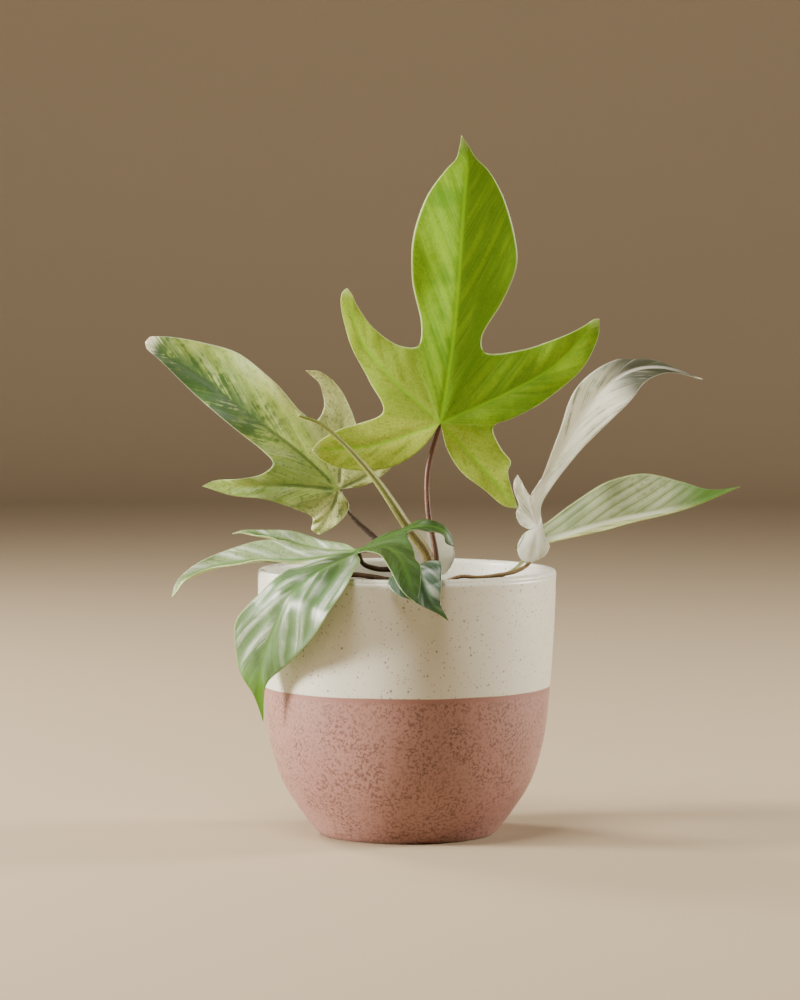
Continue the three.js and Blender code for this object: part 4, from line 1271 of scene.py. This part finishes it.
frontLeaf = {
    "base": (-21, -21, 126), "faces": (-0.15, -0.4, 0.9), "wave": 0.8, "slot": "silver_blade",
    "lobes": [
        {
            "rib": [(-19.5, -3.5), (-34.5, -8), (-41, -11.5), (-48, -16.5)],
            "path": [(16, -9, 8.6), (29, -13, 12), (37, -12, 9.4), (41, -8, 1.8)],
            "faces": [(0.05, -0.3, 0.95), (0.3, -0.45, 0.85), (0.7, -0.6, 0.3)],
            "up": [(-9, -7), (-22, -9.5), (-34, -12.5), (-41, -15.5), (-45.5, -17.6)],
            "down": [(-47, -11.5), (-43.5, -7.5), (-35.5, -3)], "notch": (-28.5, 1),
            "fold": -0.15, "tone": 1,
        },
        {
            "rib": [(-21.5, 12), (-42.5, 23), (-53, 28.5), (-61, 32)],
            "path": [(12.9, -26, 3.2), (20.6, -52, -4), (22.8, -62, -11), (24.6, -67, -17.5)],
            "faces": [(0.2, -0.5, 0.8), (0.3, -0.95, 0.2)],
            "up": [(-35, 10), (-45, 17), (-54, 24), (-59, 29.4)],
            "down": [(-58, 33), (-52, 33.5), (-41, 30), (-26.4, 23), (-13.6, 15)],
            "notch": (-3.8, 7.8), "fold": -0.15, "tone": 1,
        },
        {
            "rib": [(0, 22), (0, 41), (0, 53), (0, 68), (0, 97), (0, 119)],
            "path": [
                (-10.1, -19, -3.4), (-20, -34, -8), (-28.8, -37, -16.3), (-35, -33, -29),
                (-42.7, -19, -53), (-40.9, -11, -73.6),
            ],
            "faces": [(-0.2, -0.5, 0.8), (-0.5, -0.85, 0.25), (-0.5, -0.85, 0.1)],
            "up": [
                (-15, 25), (-22, 40), (-23.5, 55), (-18, 70), (-10.5, 87), (-4, 101), (-1.6, 110),
            ],
            "down": [(1.6, 111), (4, 105), (13.6, 97), (20.5, 86), (18, 72), (13, 54), (12, 36)],
            "notch": (14, 18.5), "fold": -0.1, "cup": -0.001, "waves": 3, "tip": 1,
        },
        {
            "rib": [(23, 12), (43, 23), (60, 32), (72, 40), (79, 47)],
            "path": [
                (-25.9, 3, -4), (-47.5, 10, -5), (-65, 15, -8.8), (-77, 16, -14.6),
                (-81.6, 16, -22),
            ],
            "faces": [(0.1, -0.5, 0.85), (0, -0.5, 0.85), (-0.5, -0.5, 0.6)],
            "up": [(30, 24), (45, 30), (60, 36.5), (71, 43), (77.6, 47.4)],
            "down": [(76.4, 42), (70, 35), (60, 26), (46, 14), (32, 5)], "notch": (23, 0.5),
            "fold": 0.4, "tone": -0.45, "half": -1,
        },
        {
            "rib": [(23.7, -6.3), (44, -11.8), (60, -16), (66.5, -17.8)],
            "path": [(-17.7, 18.5, -0.4), (-35.2, 30, 3), (-50, 36, 5.4), (-56, 38, 4)],
            "faces": [(0.1, -0.45, 0.88), (0, -0.5, 0.85)],
            "up": [(33, -4.5), (46, -8.5), (58, -14)],
            "down": [(58, -17.2), (44, -16.6), (30, -13.5), (14, -9)], "fold": 0.3, "tone": -0.45,
            "half": -1,
        },
    ],
    "veins": {
        "channel": 1.3, "channelWidth": 2.8, "pleat": 0.6, "spacing": 29.0, "lean": 2.4,
        "seed": 8, "swell": 0.5, "swellSize": 26,
    },
    "finish": {
        "lit": "#6a8a58", "deep": "#4a6b38", "young": "#2e4c10", "pale": "#bcca94", "fibre": 0.25,
        # its crests carry a broad painted silvery sheen
        "fibreColour": "#8fa583", "grain": 0.35, "grainColour": "#41622f", "crestSheenShare": 0.62,
        "crestSheenColour": "#dfeadc", "lineWidth": 0.05, "lineShare": 0.35, "lineColour": "#3c5c2c",
        "ribColour": "#4f7a30", "ribWidth": 1.4, "tipStart": 0.76, "tipFull": 0.9,
        "tipShare": 0.95, "tipColour": "#4c7c0a", "marginShare": 0.35, "marginColour": "#cfdc9c",
        "under": "#9db768", "glow": "#a7cc6a", "halfTintAndShade": "#a9b872", "roughness": 0.36,
        "specular": 0.6, "through": 0.16,
        "blotches": [
            {"wide": 9.0, "long": 22, "seed": 2.9, "level": 0.4, "soft": 0.12, "share": 0.7,
             "side": -1, "past": 0.0, "colour": "#476a34", "onTips": True},
            {"wide": 1.0, "long": 8, "seed": 4.9, "level": 0.53, "share": 0.5,
             "colour": "#4c6e42"},
        ],
    },
    "stalk": {
        "path": [
            (5, -8, 110), (-4, -11, 116), (-13, -15, 117), (-19, -18, 119.5), (-21, -20.4, 124.5),
        ],
        "radii": (1.5, 1.3, 1.2, 1.1, 1), "seed": 64, "slot": "green_stalk",
        "colours": ("#3a2a24", "#4a382c", "#5a4c34", "#83756a"),
    },
}
buildLeaf("front_leaf", frontLeaf)


# The small dark leaf over the rim beside it

rimLeaf = {
    "base": (3, -57, 120.8), "faces": (-0.25, -0.3, 0.92), "wave": 0.4, "slot": "dark_blade",
    "lobes": [
        {
            "rib": [(0, 9), (0, 18.4), (0, 27.8), (0, 35)],
            "path": [
                (1, -8.6, -0.6), (3.8, -13.5, -7.5), (7.7, -15.8, -15.5), (14.5, -16, -21.5),
            ],
            "faces": [(-0.25, -0.45, 0.85), (-0.2, -0.95, 0.3)],
            "up": [(-5.5, -3), (-10.4, 3), (-10.4, 11), (-6.8, 21.6), (-3, 30)],
            "down": [(0.6, 30), (5, 23.6), (12.4, 15), (13, 7.6), (6.5, 1.6)], "fold": -0.1,
        },
    ],
    "veins": {"channel": 0.4, "pleat": 0.3, "spacing": 15.0, "seed": 9},
    "finish": {
        "lit": "#40604a", "deep": "#2c4a34", "young": "#4f6b44", "fibre": 0.35,
        # its crests carry a painted silvery sheen
        "fibreColour": "#7f9480", "grain": 0.2, "grainColour": "#36502f", "crestSheenShare": 0.6,
        "crestSheenColour": "#c3cfbf", "lineColour": "#8fa286", "lineShare": 0.15,
        "ribColour": "#334d2c", "marginColour": "#6f8a4e", "tipStart": 0.7, "tipFull": 0.95,
        "tipColour": "#436722", "under": "#64804e", "glow": "#7f9a50", "halfTintAndShade": "#566b48",
        "roughness": 0.34, "specular": 0.6, "through": 0.1,
    },
    "stalk": {
        "path": [
            (7, -12, 105), (5, -22, 112), (3, -36, 116.5), (3, -48, 118.8), (3, -56.5, 119.3),
        ],
        "radii": (1.3, 1.1, 1, 0.9, 0.8), "seed": 63, "slot": "brown_stalk",
        "colours": ("#3a2a24", "#4d4630", "#4f5c38", "#7d7c5a"),
    },
}
buildLeaf("rim_leaf", rimLeaf)


# The small white leaf that stands behind the stem

whiteLeaf = {
    "base": (10, 7, 113.5), "faces": (0, -1, 0.1), "wave": 0.3, "slot": "white_blade",
    "lobes": [
        {
            "rib": [(0, 12), (0, 23)], "path": [(-0.5, 1, 12), (-2, 2.5, 23)],
            "faces": [(0, -1, 0.1)], "up": [(-6, -1), (-11, 6), (-10, 14), (-4, 20.5)],
            "down": [(4, 20.5), (10, 14), (11, 6), (6, -1)], "fold": 0.2,
        },
    ],
    "veins": {"seed": 10, "swell": 0.2, "pleat": 0.1},
    "finish": {
        "lit": "#f4f3e8", "deep": "#e8eadb", "young": "#f4f3e8", "fibre": 0.25,
        "fibreColour": "#cfd6ba", "grain": 0.1, "grainColour": "#d3dabf", "crestSheenShare": 0.0,
        "lineColour": "#cbd0b8", "lineShare": 0.15, "ribColour": "#f6f6ec",
        "marginColour": "#f4f5ea", "tipColour": "#edefde", "under": "#eef0e2", "glow": "#f8f8ea",
        "through": 0.4,
    },
    "stalk": {
        "path": [(9, -7, 106.5), (10.3, 0, 109), (10.5, 7.4, 112.4)], "radii": (1.1, 0.9, 0.8),
        "seed": 63, "slot": "green_stalk",
        "colours": ("#8b855e", "#b2ae8c", "#cfcdb4", "#d8d6c4"),
    },
}
buildLeaf("white_leaf", whiteLeaf)


# The leaf that is still rolled: one blade wound round itself, its free edge a fine seam

rolledLeaf = {
    "path": [(9.6, -12, 109), (9.2, -12.5, 121.8), (0.4, -16, 135), (-16, -24, 159.3),
             (-37, -32, 180.5), (-46.6, -35, 184.3)],
    "radii": (2.6, 2.6, 2.3, 1.6, 1.1, 0.6),
    "seed": 12,
    "overlap": 0.2,
    "seam": (1.2, 1.5),  # where it starts and how far it winds, in radians
    "colours": ("#8a5b3f", "#8d9455", "#7d8a3e", "#b3b884"),
}


def wound(turns, run):
    # the radius falls once round and steps back out at the seam, which winds up the roll
    start, winding = rolledLeaf["seam"]
    share = ((turns - start - run * winding) / fullTurn) % 1.0
    return 1 - rolledLeaf["overlap"] * share


def buildRolledLeaf(settings):
    points, faces, uvs = grownTube(settings["path"], settings["radii"], tubes["rolledSides"],
                                   settings["seed"], lumps=0.02, roll=wound)
    skin = plantStalk("waxyRolledBlade", *settings["colours"])
    piece = makeObject("rolled_new_leaf", points, faces, skin, uvs)
    settle(piece, "rolled_leaf", "rolled_leaf")


buildRolledLeaf(rolledLeaf)
print("rolled leaf built")


# Stem and root

stem = {
    "path": [(8, -8, 84), (8, -8, 100), (8.3, -8.5, 107), (9, -9, 113)],
    "radii": (4.6, 4.6, 4.3, 2.4),
    "colours": ("#3f3626", "#5f6138", "#6d6f42", "#8a7b54"),
    "roughness": 0.55,
    "seed": 31,
}
airRoot = {
    "path": [(4, -12, 107), (-5, -19, 111.5), (-14, -24, 114), (-25, -29, 115.4),
             (-33, -31, 112), (-36, -32, 104.5)],
    "radii": (1.3, 1.3, 1.2, 1.1, 1, 0.7),
    "colours": ("#4a3527", "#6a4f3a", "#4d3a2b", "#8d7459"),
    "roughness": 0.8,
    "seed": 31,
}


def buildStem(name, materialName, node, slot, settings):
    points, faces, uvs = grownTube(settings["path"], settings["radii"], tubes["stemSides"],
                                   settings["seed"], lumps=0.1)
    skin = plantStalk(materialName, *settings["colours"], settings["roughness"])
    settle(makeObject(name, inBox(points, node), faces, skin, uvs), slot, node)


buildStem("grown_stem", "corkyStem", "stem", "stem", stem)
buildStem("bark_root", "dryRootBark", "air_root", "root", airRoot)
print("stem and root built")
